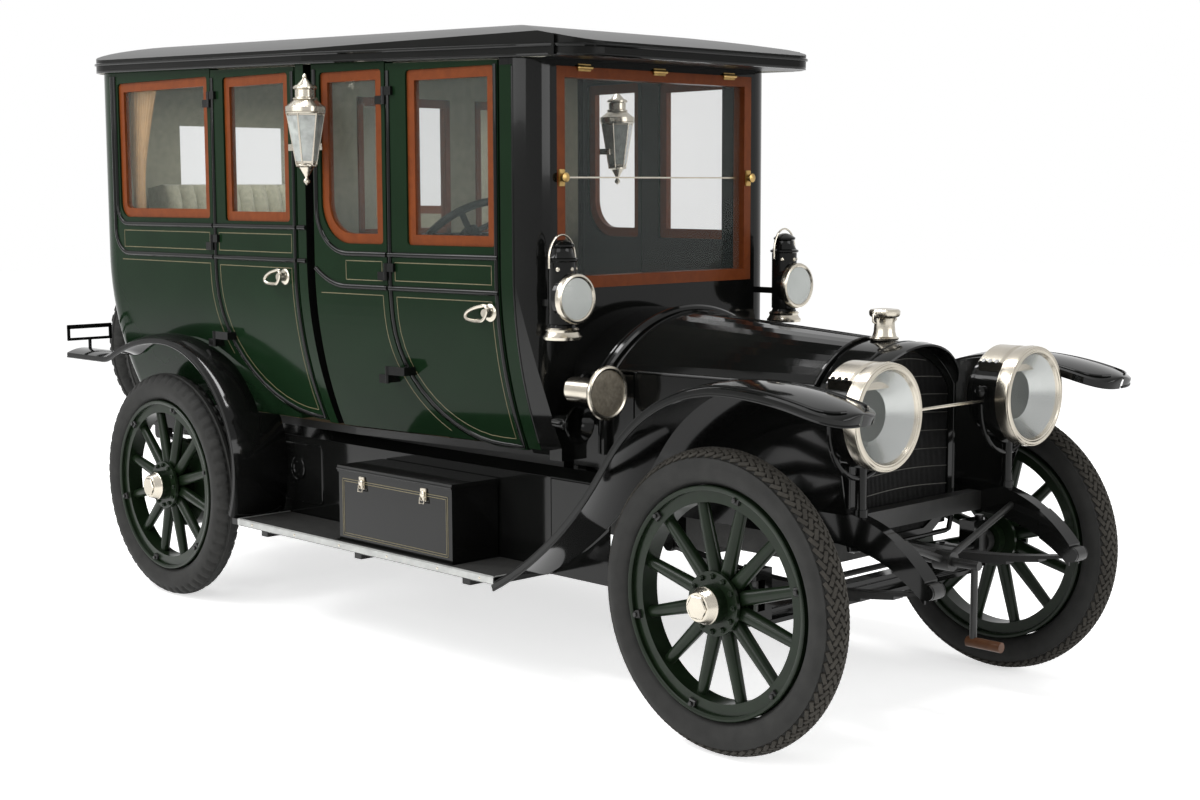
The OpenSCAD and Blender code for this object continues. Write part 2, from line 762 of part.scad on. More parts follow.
module floor_pan() color("dimgray") {
  translate([0, 0, 738]) linear_extrude(floor_top - 738) polygon([
    [-560, 200 - body_w], [taper_x, 190 - body_w], [front_x - 62, 90 - screen_w], [front_x - 62, screen_w - 90],
    [taper_x, body_w - 190], [-560, body_w - 200]]);
  both() translate([-560, -rail_y - rail_w / 2, rail_top + seat_gap]) cube([front_x - 62 + 560, rail_w, 30]);
}

module partition() color("darkgreen") {
  difference() {
    along_x(1010, 1034) intersection() {
      union() {
        translate([body_w - groove_in, 0]) under(wall_t + seat_gap);
        mirror([1, 0]) translate([body_w - groove_in, 0]) under(wall_t + seat_gap);
      }
      translate([-900, floor_top + seat_gap]) square([1800, roof_bot(1034) - 2 * seat_gap - floor_top]);
    }
    for (s = [-1, 1]) translate([900, s * (body_w - 415) - 222, 1480]) cube([300, 444, 520]);
  }
}

module front_seat() color("black") {
  translate([1050, -470, floor_top + seat_gap]) cube([470, 940, 340]);
  translate([1050, -470, floor_top + 300]) cube([110, 940, 420]);
}

module rear_seat() color("darkkhaki") {
  translate([-400, -470, floor_top + seat_gap]) cube([620, 940, 400]);
  translate([-530, -480, floor_top + seat_gap + 300]) cube([190, 960, 610]);
}

// wings
function end_at(p, seg, f = 1) = seg[1] == 0
  ? [p[0] + f * seg[0] * cos(p[2]), p[1] + f * seg[0] * sin(p[2]), p[2]]
  : [p[0] + sign(seg[1]) * seg[0] * (sin(p[2] + f * seg[1]) - sin(p[2])),
     p[1] + sign(seg[1]) * seg[0] * (cos(p[2]) - cos(p[2] + f * seg[1])), p[2] + f * seg[1]];
function steps_of(seg) = seg[1] == 0 ? ceil(seg[0] / 80) : ceil(abs(seg[1]) / 6);
// points along a path, each [x, z, heading]
function path_points(path, p, i = 0) = i == len(path)
  ? [p]
  : concat([for (k = [0 : steps_of(path[i]) - 1]) end_at(p, path[i], k / steps_of(path[i]))],
      path_points(path, end_at(p, path[i]), i + 1));

crown_n = 8;
// cross section of a wing, each [height above the path, distance from the car's middle]
function wing_height(y, y0, y1) = -18 * pow((y - (y0 + y1) / 2) / (y1 - y0) * 2, 2);
function wing_profile(y0, y1, lip) = concat(
  [for (k = [0 : crown_n]) let (y = y0 + (y1 - y0) * k / crown_n) [wing_height(y, y0, y1), y]],
  [[wing_height(y1, y0, y1) - lip, y1], [wing_height(y1, y0, y1) - lip, y1 - wing_t]],
  [for (k = [crown_n : -1 : 0]) let (y = y0 + (y1 - y0 - wing_t) * k / crown_n) [wing_height(y, y0, y1) - wing_t, y]]);

// skins a ring of section points along a path; side is 1 when the path runs forwards, -1 when it runs back
module skin(path, rings, side) {
  n = len(rings[0]);
  m = len(path);
  points = [for (i = [0 : m - 1]) for (q = rings[i])
    [path[i][0] - side * q[0] * sin(path[i][2]), -q[1], path[i][1] + side * q[0] * cos(path[i][2])]];
  sides = [for (i = [0 : m - 2]) for (j = [0 : n - 1]) for (f = [
    [i * n + j, i * n + (j + 1) % n, (i + 1) * n + j],
    [i * n + (j + 1) % n, (i + 1) * n + (j + 1) % n, (i + 1) * n + j]]) side < 0 ? f : [f[2], f[1], f[0]]];
  first = [for (j = [0 : n - 1]) side < 0 ? n - 1 - j : j];
  last = [for (j = [0 : n - 1]) (m - 1) * n + (side < 0 ? j : n - 1 - j)];
  polyhedron(points, concat(sides, [first, last]), convexity = 6);
}

// rounds the front wing's end: share of the full width at x
wing_tip = 130;
function tip_share(x, x_end) = x < x_end - wing_tip ? 1 : 0.3 + 0.7 * sqrt(max(0, 1 - pow((x - x_end + wing_tip) / wing_tip, 2)));

wing_y = [hub_y - 155, hub_y + 95];
front_path = path_points(wing_front, wing_front_start);
rear_path = path_points(wing_rear, wing_rear_start);

module front_wing() {
  x_end = front_path[len(front_path) - 1][0];
  mid = (wing_y[0] + wing_y[1]) / 2;
  half = (wing_y[1] - wing_y[0]) / 2;
  skin(front_path, [for (p = front_path) let (h = half * tip_share(p[0], x_end)) wing_profile(mid - h, mid + h, 20)], 1);
}

// inner skirt of the front wing, down to the frame
skirt_z = 702;
skirt_y = 410;
skirt_path = [for (p = front_path) if (p[1] > 770 && p[0] < 3330) p];

module front_skirt() {
  skin(skirt_path, [for (p = skirt_path) let (low = -(p[1] - skirt_z) / cos(p[2]))
    [[low, skirt_y], [-19, wing_y[0] + 0.5], [-19, wing_y[0] + 6], [low, skirt_y + 5]]], 1);
}

// the rear wing's inner edge follows the body's side
function rear_inner(z) = z < body_bot - 40 ? 560 : body_w - inset(z) + door_gap;

module rear_wing() {
  skin(rear_path, [for (p = rear_path) wing_profile(p[2] < 120 ? rear_inner(p[1] - 40) : max(rear_inner(p[1]), hub_y - 59), wing_y[1], 20)], -1);
}

module front_wings() color("black") both() {
  front_wing();
  front_skirt();
}

// number plate bracket: [x, y, height of the bolt holes, distance between them]
plate = [-640, -715, 1074, 150];

module plate_bracket() translate([plate[0], plate[1], 0]) {
  translate([0, 0, 974]) cylinder(r = 7, h = 50);
  difference() {
    translate([-4, -105, 1016]) cube([8, 210, 68]);
    translate([-5, -92, 1028]) cube([10, 184, 38]);
    for (y = [-0.5, 0.5]) translate([-5, y * plate[3], plate[2]]) rotate([0, 90, 0]) cylinder(r = 3.5, h = 10);
  }
}

module rear_wings() color("black") {
  plate_bracket();
  both() rear_wing();
}

module running_boards() color("black") both() {
  translate([560, -board_y, 372]) cube([1551.5, board_y - apron_y + 8, 24]);
  translate([520, -apron_y, 372]) cube([1600, 8, 330]);
  for (x = [760, 1350, 1950]) translate([x, -board_y, 352]) {
    cube([40, board_y - rail_y - rail_w / 2 - seat_gap, 21]);
    translate([0, board_y - rail_y - rail_w / 2 - 20 - seat_gap, 0]) cube([40, 20, 290]);
  }
}

box = [1218, -752, 396.3, 640, 204, 250];

module tool_box() color("black") translate([box[0], box[1], box[2]]) difference() {
  cube([box[3], box[4], box[5]]);
  translate([8, 8, 8]) cube([box[3] - 16, box[4] - 16, box[5]]);
}

module tool_box_lid() color("black") translate([box[0], box[1], box[2] + box[5] + seat_gap]) {
  translate([-4, -4, 0]) cube([box[3] + 8, box[4] + 4, 24]);
}

// lamps
lamp = [3395, 380, 1001];

module headlamp_drum() translate([lamp[0], -lamp[1], lamp[2]]) rotate([0, -90, 0]) {
  difference() {
    union() {
      translate([0, 0, 46]) cylinder(r = 128, h = 120);
      translate([0, 0, 165]) cylinder(r1 = 128, r2 = 90, h = 26);
    }
    translate([0, 0, 40]) cylinder(r = 118, h = 112);
  }
}

module headlamp_rims() color("silver") both() translate([lamp[0], -lamp[1], lamp[2]]) rotate([0, -90, 0]) {
  difference() {
    cylinder(r = 158, h = 45.7);
    translate([0, 0, -1]) cylinder(r1 = 140, r2 = 110, h = 50);
  }
}

module headlamp_post() translate([lamp[0] - 100, -lamp[1], 0]) {
  difference() {
    union() {
      translate([0, 0, 680]) cylinder(r = 17, h = lamp[2] - 148 - 680);
      translate([0, 0, 680]) cylinder(r = 21, h = 40);
    }
    translate([horn_top[0] - lamp[0] + 100, 100, horn_top[1]]) rotate([90, 0, 0]) cylinder(r = horn_top[2] + seat_gap, h = 200, $fn = 256);
  }
  translate([0, 0, lamp[2]]) rotate([90, 0, 90]) translate([0, 0, -12]) difference() {
    cylinder(r = 156, h = 24);
    translate([0, 0, -1]) cylinder(r = 127, h = 26);
    translate([-300, 20, -1]) cube([600, 600, 26]);
  }
}

module headlamps() color("black") both() {
  headlamp_drum();
  headlamp_post();
}

module side_lamps() color("black") both() translate([front_x + 164, -screen_w - 74, 1305]) {
  translate([-46, 0, 0]) rotate([0, 90, 0]) cylinder(r = 66, h = 40);
  translate([-14, 0, 0]) rotate([0, 90, 0]) cylinder(r = 80, h = 22);
  translate([-62, 0, -84]) cylinder(r = 46, h = 204);
  translate([-62, 0, -132]) cylinder(r1 = 60, r2 = 40, h = 52);
  difference() {
    translate([-188, 12, -31]) cube([120, 18, 22]);
    translate([-264, 53, -60]) cylinder(r = 100 + seat_gap, h = 120);
  }
}

module carriage_lamps() color("silver") both() translate([taper_x + 100, -body_w - 82, 0]) {
  translate([0, 0, 1745]) cylinder(r1 = 34, r2 = 66, h = 190, $fn = 6);
  translate([0, 0, 1935]) cylinder(r = 72, h = 16);
  translate([0, 0, 1951]) cylinder(r1 = 72, r2 = 36, h = 30);
  translate([0, 0, 1981]) cylinder(r = 36, h = 36);
  translate([0, 0, 2017]) cylinder(r1 = 40, r2 = 6, h = 38);
  translate([0, 0, 1702]) cylinder(r1 = 5, r2 = 30, h = 43);
  translate([-12, 0, 1800]) cube([24, 60, 24]);
  translate([-170, 40, 1800]) cube([182, 20, 24]);
  translate([-170, 40, 1800]) cube([24, 42 - seat_gap, 24]);
}

module horn() color("silver") translate([2300, -500, 1000]) rotate([0, 90, 0]) {
  cylinder(r1 = 30, r2 = 88, h = 50);
  translate([0, 0, -110]) cylinder(r = 42, h = 112);
  translate([-14, 0, -100]) cube([28, 88 - seat_gap, 28]);
}

module spare_tyres() color("dimgray") for (x = spare_x) translate([x, 0, spare_z]) rotate([0, 0, 90]) tyre_solid();

// steering column: wheel centre, rake from the vertical in degrees, wheel radius
column = [1470, -330, 1500];
rake = 38;
steer_r = 205;

module steering_column() color("black") difference() {
  translate(column) rotate([0, -rake, 0]) translate([0, 0, -960]) cylinder(r = 20, h = 960 - 26 - seat_gap);
  translate([1000, -800, floor_top + seat_gap - 400]) cube([1400, 800, 400]);
  translate([front_x - 60 - seat_gap, -800, 400]) cube([400, 800, 1000]);
}

module steering_wheel() color("black") translate(column) rotate([0, -rake, 0]) {
  rotate_extrude() translate([steer_r - 14, 0]) circle(14);
  translate([0, 0, -26]) cylinder(r = 34, h = 40);
  for (i = [0 : 3]) rotate([0, 0, i * 90 + 45]) translate([0, -11, -8]) cube([steer_r - 14, 22, 12]);
}

car() rails();
car() cross_members();
car() front_axle();
car() rear_axle();
car() springs();
car() power_unit();
car() radiator_shell();
car() radiator_core();
car() radiator_cap();
car() starting_crank();
car() hood_r();
car() hood_l();
car() cowl();
car() rear_body();
car() centre_posts();
car() front_frame();
car() fixed_sashes();
car() fixed_glass();
car() door_rr();
car() door_rl();
car() door_fr();
car() door_fl();
car() sash_rr();
car() sash_rl();
car() sash_fr();
car() sash_fl();
car() glass_rr();
car() glass_rl();
car() glass_fr();
car() glass_fl();
car() roof();
car() floor_pan();
car() partition();
car() front_seat();
car() rear_seat();
car() front_wings();
car() rear_wings();
car() running_boards();
car() tool_box();
car() tool_box_lid();
car() headlamps();
car() headlamp_rims();
car() side_lamps();
car() carriage_lamps();
car() horn();
car() spare_tyres();
car() steering_column();
car() steering_wheel();
car() wheel_fr();
car() wheel_fl();
car() wheel_rr();
car() wheel_rl();
car() tyre_fr();
car() tyre_fl();
car() tyre_rr();
car() tyre_rl();
car() knuckle_r();
car() knuckle_l();
car() tie_rod();
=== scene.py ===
"""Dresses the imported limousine: paint, wood, nickel, glass, upholstery, tyre treads and trim."""
from fnmatch import fnmatch
from math import asin, atan2, ceil, copysign, cos, degrees, hypot, pi, radians, sin, sqrt, tan

import bmesh
import bpy
from mathutils import Matrix, Vector


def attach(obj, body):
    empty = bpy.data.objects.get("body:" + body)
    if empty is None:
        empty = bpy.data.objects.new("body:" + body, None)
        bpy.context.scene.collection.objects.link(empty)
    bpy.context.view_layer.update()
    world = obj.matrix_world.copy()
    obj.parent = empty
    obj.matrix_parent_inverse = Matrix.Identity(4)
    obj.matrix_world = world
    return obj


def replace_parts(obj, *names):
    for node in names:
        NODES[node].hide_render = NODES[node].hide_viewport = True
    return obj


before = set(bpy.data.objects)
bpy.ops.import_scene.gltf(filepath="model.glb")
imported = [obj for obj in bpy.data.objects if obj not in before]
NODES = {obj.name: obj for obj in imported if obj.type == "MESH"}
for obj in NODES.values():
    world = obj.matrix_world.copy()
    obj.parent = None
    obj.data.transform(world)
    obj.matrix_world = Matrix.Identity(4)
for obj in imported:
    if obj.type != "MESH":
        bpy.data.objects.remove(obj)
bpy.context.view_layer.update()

# Sizes in metres; lengths are measured forwards from the rear axle, as in the solids.
MM = 0.001
MIDDLE_X = 1.294
WHEELBASE = 3.048
HUB_Y = 0.711
TYRE_R = 0.457
TYRE_W = 0.116
BODY_W = 0.700
BODY_BACK = 0.620
CORNER_R = 0.205
TURN_Z = 1.390
TURN_R = 1.500
TAPER_X = 1.000
TAPER_A = radians(5.4)
RIGHT, LEFT = -1, 1
FORWARD, UP = Vector((1, 0, 0)), Vector((0, 0, 1))


def at(x, y, z):
    """Point given from the rear axle, in the row's frame."""
    return Vector((x - MIDDLE_X, y, z))


def inset(z):
    """How far the side has turned under at height z."""
    return 0.0 if z > TURN_Z else TURN_R - sqrt(TURN_R ** 2 - (TURN_Z - z) ** 2)


def side_point(part, side, s, z, out=0.0):
    """Point on the body's side: s runs forwards along the rear part or along the narrowing front part."""
    w = inset(z) - out
    if part == "rear":
        return at(s, side * (BODY_W - w), z)
    x = TAPER_X + s * cos(TAPER_A) - w * sin(TAPER_A)
    y = BODY_W - s * sin(TAPER_A) - w * cos(TAPER_A)
    return at(x, side * y, z)


# Materials
def set_inputs(node, **inputs):
    """Sets sockets by name, with an underscore for each space."""
    for key, value in inputs.items():
        node.inputs[key.replace("_", " ")].default_value = value


def add_node(tree, kind, **inputs):
    node = tree.nodes.new("ShaderNode" + kind)
    set_inputs(node, **inputs)
    return node


def link(tree, *pairs):
    for source, target in pairs:
        tree.links.new(source, target)


def new_material(name, **inputs):
    """Principled material, as (material, node tree, shader)."""
    mat = bpy.data.materials.new(name)
    mat.use_nodes = True
    shader = mat.node_tree.nodes["Principled BSDF"]
    set_inputs(shader, **inputs)
    return mat, mat.node_tree, shader


def colour_ramp(tree, low, high, start=0.0, end=1.0):
    ramp = add_node(tree, "ValToRGB")
    for stop, colour, place in zip(ramp.color_ramp.elements, (low, high), (start, end)):
        stop.color = (*colour, 1)
        stop.position = place
    return ramp


def material(name, colour, rough, vary=None, bump=None, metal=0.0, coat=0.0, spec=0.5, **sockets):
    """Paint, metal or cloth; vary and bump are (strength, scale) of the noise in its colour and surface."""
    mat, tree, shader = new_material(
        name, Roughness=rough, Metallic=metal, Coat_Weight=coat, Coat_Roughness=0.03,
        Specular_IOR_Level=spec, Base_Color=(*colour, 1), **sockets)
    place = add_node(tree, "TexCoord").outputs["Object"]
    if vary:
        noise = add_node(tree, "TexNoise", Scale=vary[1], Detail=6)
        low, high = ([min(1, c * f) for c in colour] for f in (1 - vary[0], 1 + vary[0]))
        ramp = colour_ramp(tree, low, high, 0.3, 0.7)
        link(tree, (place, noise.inputs["Vector"]), (noise.outputs["Fac"], ramp.inputs["Fac"]),
             (ramp.outputs["Color"], shader.inputs["Base Color"]))
    if bump:
        fine = add_node(tree, "TexNoise", Scale=bump[1], Detail=4)
        hill = add_node(tree, "Bump", Strength=bump[0], Distance=0.002)
        link(tree, (place, fine.inputs["Vector"]), (fine.outputs["Fac"], hill.inputs["Height"]),
             (hill.outputs["Normal"], shader.inputs["Normal"]))
    return mat


def wood_material(name, dark, light, rough, coat):
    """Varnished wood with a soft figure."""
    mat, tree, shader = new_material(
        name, Roughness=rough, Coat_Weight=coat, Coat_Roughness=0.08, Specular_IOR_Level=0.12)
    place = add_node(tree, "TexCoord").outputs["Object"]
    stretch = add_node(tree, "Mapping", Scale=(9, 9, 6))
    figure = add_node(tree, "TexNoise", Scale=2.4, Detail=8, Distortion=1.6)
    ramp = colour_ramp(tree, dark, light)
    hill = add_node(tree, "Bump", Strength=0.08)
    link(tree, (place, stretch.inputs["Vector"]), (stretch.outputs["Vector"], figure.inputs["Vector"]),
         (figure.outputs["Fac"], ramp.inputs["Fac"]), (ramp.outputs["Color"], shader.inputs["Base Color"]),
         (figure.outputs["Fac"], hill.inputs["Height"]), (hill.outputs["Normal"], shader.inputs["Normal"]))
    return mat


GREEN = material("bottle_green_paint", (0.0060, 0.0172, 0.0070), 0.12, (0.12, 3), (0.015, 9), coat=0.04,
    spec=0.05)
BLACK = material("black_enamel", (0.0045, 0.0047, 0.0044), 0.09, (0.15, 5), (0.012, 7), coat=0.1, spec=0.14)
WHEEL_GREEN = material("wheel_green_paint", (0.0058, 0.0118, 0.0050), 0.3, (0.2, 20), (0.05, 60), coat=0.06,
    spec=0.16)
IRON = material("chassis_black", (0.0075, 0.0075, 0.007), 0.4, (0.25, 25), (0.15, 120), spec=0.4)
NICKEL = material("polished_nickel", (0.46, 0.425, 0.36), 0.24, (0.08, 12), (0.04, 50), metal=1.0)
BRASS = material("aged_brass", (0.36, 0.24, 0.09), 0.32, (0.2, 40), (0.05, 200), metal=1.0)
ALUMINIUM = material("aluminium_edging", (0.36, 0.365, 0.355), 0.5, (0.12, 30), (0.05, 80), metal=0.7)
GOLD = material("gold_line_paint", (0.115, 0.095, 0.042), 0.45, (0.15, 60))
RUBBER = material("tyre_rubber", (0.0135, 0.0135, 0.0125), 0.75, (0.3, 18), (0.12, 160), spec=0.3)
MAHOGANY = wood_material("mahogany_varnish", (0.088, 0.0195, 0.0040), (0.185, 0.0430, 0.0080), 0.4, 0.03)
GRIP_WOOD = wood_material("turned_grip_wood", (0.05, 0.021, 0.009), (0.11, 0.046, 0.021), 0.45, 0.2)
PLANK = wood_material("floor_planks", (0.05, 0.035, 0.02), (0.10, 0.07, 0.04), 0.6, 0.0)
CLOTH = material("grey_green_cloth", (0.33, 0.32, 0.23), 0.92, (0.16, 60), (0.4, 700), Sheen_Weight=0.3)
LINING = material("grey_green_lining", (0.27, 0.26, 0.19), 0.95, (0.12, 40), (0.3, 800), Sheen_Weight=0.2)
CURTAIN = material("tan_silk", (0.40, 0.245, 0.105), 0.7, (0.12, 40), (0.3, 500), Sheen_Weight=0.4)
LEATHER = material("black_leather", (0.011, 0.010, 0.009), 0.5, (0.3, 40), (0.15, 500), spec=0.35)
CORE = material("radiator_fins", (0.010, 0.010, 0.010), 0.5, (0.3, 60), metal=0.6)
CAST = material("cast_iron_grey", (0.04, 0.04, 0.038), 0.6, (0.25, 20), (0.4, 90), metal=0.4)
ROOF_BLACK = material("roof_lacquer", (0.0065, 0.0066, 0.0062), 0.3, (0.15, 4), (0.02, 12), spec=0.07)
GLASS = material("window_glass", (0.16, 0.19, 0.18), 0.01, spec=1.0, Alpha=0.09)
LENS = material("lamp_glass", (0.30, 0.33, 0.32), 0.04, bump=(0.03, 40), spec=1.0, Alpha=0.10)
MIRROR = material("silvered_reflector", (0.40, 0.41, 0.40), 0.26, (0.05, 8), metal=1.0)
TREAD = material("worn_tread_rubber", (0.034, 0.031, 0.026), 0.8, (0.25, 30), (0.12, 160), spec=0.25)
DARK_MIRROR = material("dark_lens", (0.028, 0.031, 0.027), 0.3, (0.2, 12), spec=0.3)
BRIGHT_MIRROR = material("bright_reflector", (0.50, 0.52, 0.50), 0.32, (0.06, 9), metal=0.55)
LAMP_PANE = material("bevelled_lamp_glass", (0.30, 0.32, 0.30), 0.08, (0.25, 35), coat=1.0, spec=0.8)
HORN_MOUTH = material("horn_gauze", (0.17, 0.15, 0.115), 0.5, (0.25, 90), (0.4, 900), metal=0.5)
DULL_METAL = material("dull_metal", (0.10, 0.098, 0.09), 0.45, (0.2, 80), metal=0.9)

NODE_MATERIALS = {
    GREEN: ["rear_body", "centre_posts", "door_*"],
    ROOF_BLACK: ["roof"],
    LINING: ["partition"],
    MAHOGANY: ["fixed_sashes", "sash_*"],
    GLASS: ["fixed_glass", "glass_*"],
    RUBBER: ["tyre_*", "spare_tyres"],
    WHEEL_GREEN: ["wheel_*"],
    NICKEL: ["headlamp_rims", "radiator_cap", "horn", "carriage_lamps"],
    CLOTH: ["rear_seat"],
    LEATHER: ["front_seat"],
    PLANK: ["floor_pan"],
    CORE: ["radiator_core"],
    CAST: ["power_unit"],
    IRON: ["cross_members", "rear_axle", "springs", "knuckle_*", "tie_rod", "starting_crank"],
}


SMOOTH_ANGLE = radians(32)


def shade(obj, angle=SMOOTH_ANGLE):
    """Smooth shading with sharp edges kept."""
    for face in obj.data.polygons:
        face.use_smooth = True
    obj.data.set_sharp_from_angle(angle=angle)


for name, node in NODES.items():
    chosen = next((m for m, names in NODE_MATERIALS.items() if any(fnmatch(name, n) for n in names)), BLACK)
    node.data.materials.clear()
    node.data.materials.append(chosen)
    shade(node)

shade(NODES["rails"], radians(12))


def paint(name, mat, test):
    """Gives another material to the faces of a solid that pass a test of their middle and normal."""
    mesh = NODES[name].data
    mesh.materials.append(mat)
    index = len(mesh.materials) - 1
    for face in mesh.polygons:
        c = face.center
        if test(c.x + MIDDLE_X, c.y, c.z, face.normal):
            face.material_index = index


def faces_in(x, y, z, n):
    """True on the faces of the shell that look into the cabin."""
    return n.y * y < -0.2 * abs(y) or (n.x > 0.3 and x < -0.3 and abs(y) < 0.64)


def stands_out(x, y, z, n):
    """True outside the side's surface, as on the hinges."""
    w = BODY_W if x < TAPER_X else BODY_W - tan(TAPER_A) * (x - TAPER_X)
    return abs(y) > w - inset(z) + 0.0015


REAR_SHELL = ("door_rr", "door_rl", "rear_body")
FRONT_SHELL = ("door_fr", "door_fl", "centre_posts")
for shell, lining in ((REAR_SHELL, LINING), (FRONT_SHELL, LEATHER)):
    for name in shell:
        paint(name, lining, faces_in)
        paint(name, BLACK, stands_out)
paint("centre_posts", BLACK, lambda x, y, z, n: 0.93 < x < 1.035 and abs(y) < BODY_W - inset(z) - 0.012)
paint("roof", LINING, lambda x, y, z, n: n.z < -0.3 and x < 2.0)
paint("floor_pan", IRON, lambda x, y, z, n: n.z < 0.5 or z < 0.75)
paint("starting_crank", GRIP_WOOD, lambda x, y, z, n: z < 0.297)

# Camera, light and floor
CAMERA_PLACE = (6.5615, -4.6041, 1.6603)
CAMERA_AZIMUTH = 45.806
CAMERA_ELEVATION = 6.599
CAMERA_ROLL = -0.16
CAMERA_LENS = 54.651
CAMERA_SHIFT = (-0.0041, -0.0007)


def place_object(name, data):
    obj = bpy.data.objects.new(name, data)
    bpy.context.scene.collection.objects.link(obj)
    return obj


def make_camera():
    data = bpy.data.cameras.new("photo_camera")
    data.sensor_width = 36
    data.lens = CAMERA_LENS
    data.shift_x, data.shift_y = CAMERA_SHIFT
    camera = place_object("photo_camera", data)
    turn = Matrix.Translation(at(*CAMERA_PLACE))
    for angle, axis in ((CAMERA_AZIMUTH, "Z"), (90 - CAMERA_ELEVATION, "X"), (CAMERA_ROLL, "Z")):
        turn = turn @ Matrix.Rotation(radians(angle), 4, axis)
    camera.matrix_world = turn
    bpy.context.scene.camera = camera


def soft_box(name, place, aim, size, watts):
    data = bpy.data.lights.new(name, "AREA")
    data.shape = "RECTANGLE"
    data.size, data.size_y = size
    data.energy = watts
    light = place_object(name, data)
    light.location = place
    light.rotation_euler = (Vector(aim) - Vector(place)).to_track_quat("-Z", "Y").to_euler()
    return light


def white_ray_mix(tree, shown, other):
    """Shows one shader to the camera, mirrors and glass, and another to the rest of the light."""
    path = add_node(tree, "LightPath")
    seen = path.outputs["Is Camera Ray"]
    for extra in ("Is Glossy Ray", "Is Transmission Ray"):
        most = add_node(tree, "Math")
        most.operation = "MAXIMUM"
        link(tree, (seen, most.inputs[0]), (path.outputs[extra], most.inputs[1]))
        seen = most.outputs[0]
    mix = add_node(tree, "MixShader")
    link(tree, (seen, mix.inputs["Fac"]), (other, mix.inputs[1]), (shown, mix.inputs[2]))
    return mix.outputs[0]


WHITE = (1, 1, 1, 1)
WORLD_LIGHT = 0.45
FLOOR_LIFT = 0.62
SOFT_BOXES = (
    ("overhead", (-0.3, -0.6, 6.5), (-0.2, 0, 1), (7, 0.6), 360),
    ("right_wall", (0.5, -8.0, 3.6), (0, 0, 1.0), (8, 3), 240),
    ("high_right", (-2.2, -3.6, 5.0), (0.6, -0.2, 1.0), (5, 2), 230),
    ("front_wall", (8.5, 1.5, 3.2), (1, 0, 0.9), (5, 3), 200),
)


def make_stage():
    world = bpy.data.worlds.new("studio")
    bpy.context.scene.world = world
    world.use_nodes = True
    tree = world.node_tree
    back = tree.nodes["Background"]
    set_inputs(back, Color=WHITE, Strength=WORLD_LIGHT)
    white = add_node(tree, "Background", Color=WHITE, Strength=1.0)
    mixed = white_ray_mix(tree, white.outputs[0], back.outputs[0])
    link(tree, (mixed, tree.nodes["World Output"].inputs["Surface"]))
    bpy.ops.mesh.primitive_plane_add(size=60, location=(0, 0, -0.0005))
    floor = bpy.context.object
    floor.name = "studio_floor"
    mat, tree, shader = new_material(
        "studio_floor_white", Base_Color=(0.90, 0.90, 0.895, 1), Roughness=0.95, Specular_IOR_Level=0.0)
    lift = add_node(tree, "Emission", Color=WHITE, Strength=FLOOR_LIFT)
    lit = add_node(tree, "AddShader")
    link(tree, (shader.outputs[0], lit.inputs[0]), (lift.outputs[0], lit.inputs[1]))
    mixed = white_ray_mix(tree, lit.outputs[0], shader.outputs[0])
    link(tree, (mixed, tree.nodes["Material Output"].inputs["Surface"]))
    floor.data.materials.append(mat)
    for lamp in SOFT_BOXES:
        soft_box(*lamp)
    cabin_lamp = soft_box("cabin_lamp", at(0.2, 0, 2.06), at(0.2, 0, 1.0), (0.9, 0.9), 8)
    cabin_lamp.visible_camera = cabin_lamp.visible_glossy = cabin_lamp.visible_transmission = False


make_camera()
make_stage()
bpy.context.scene.view_settings.view_transform = "Standard"


# Mesh helpers
def steps(n, a=0.0, b=2 * pi):
    """n values from a on, evenly spaced, that stop one step short of b."""
    return [a + (b - a) * k / n for k in range(n)]


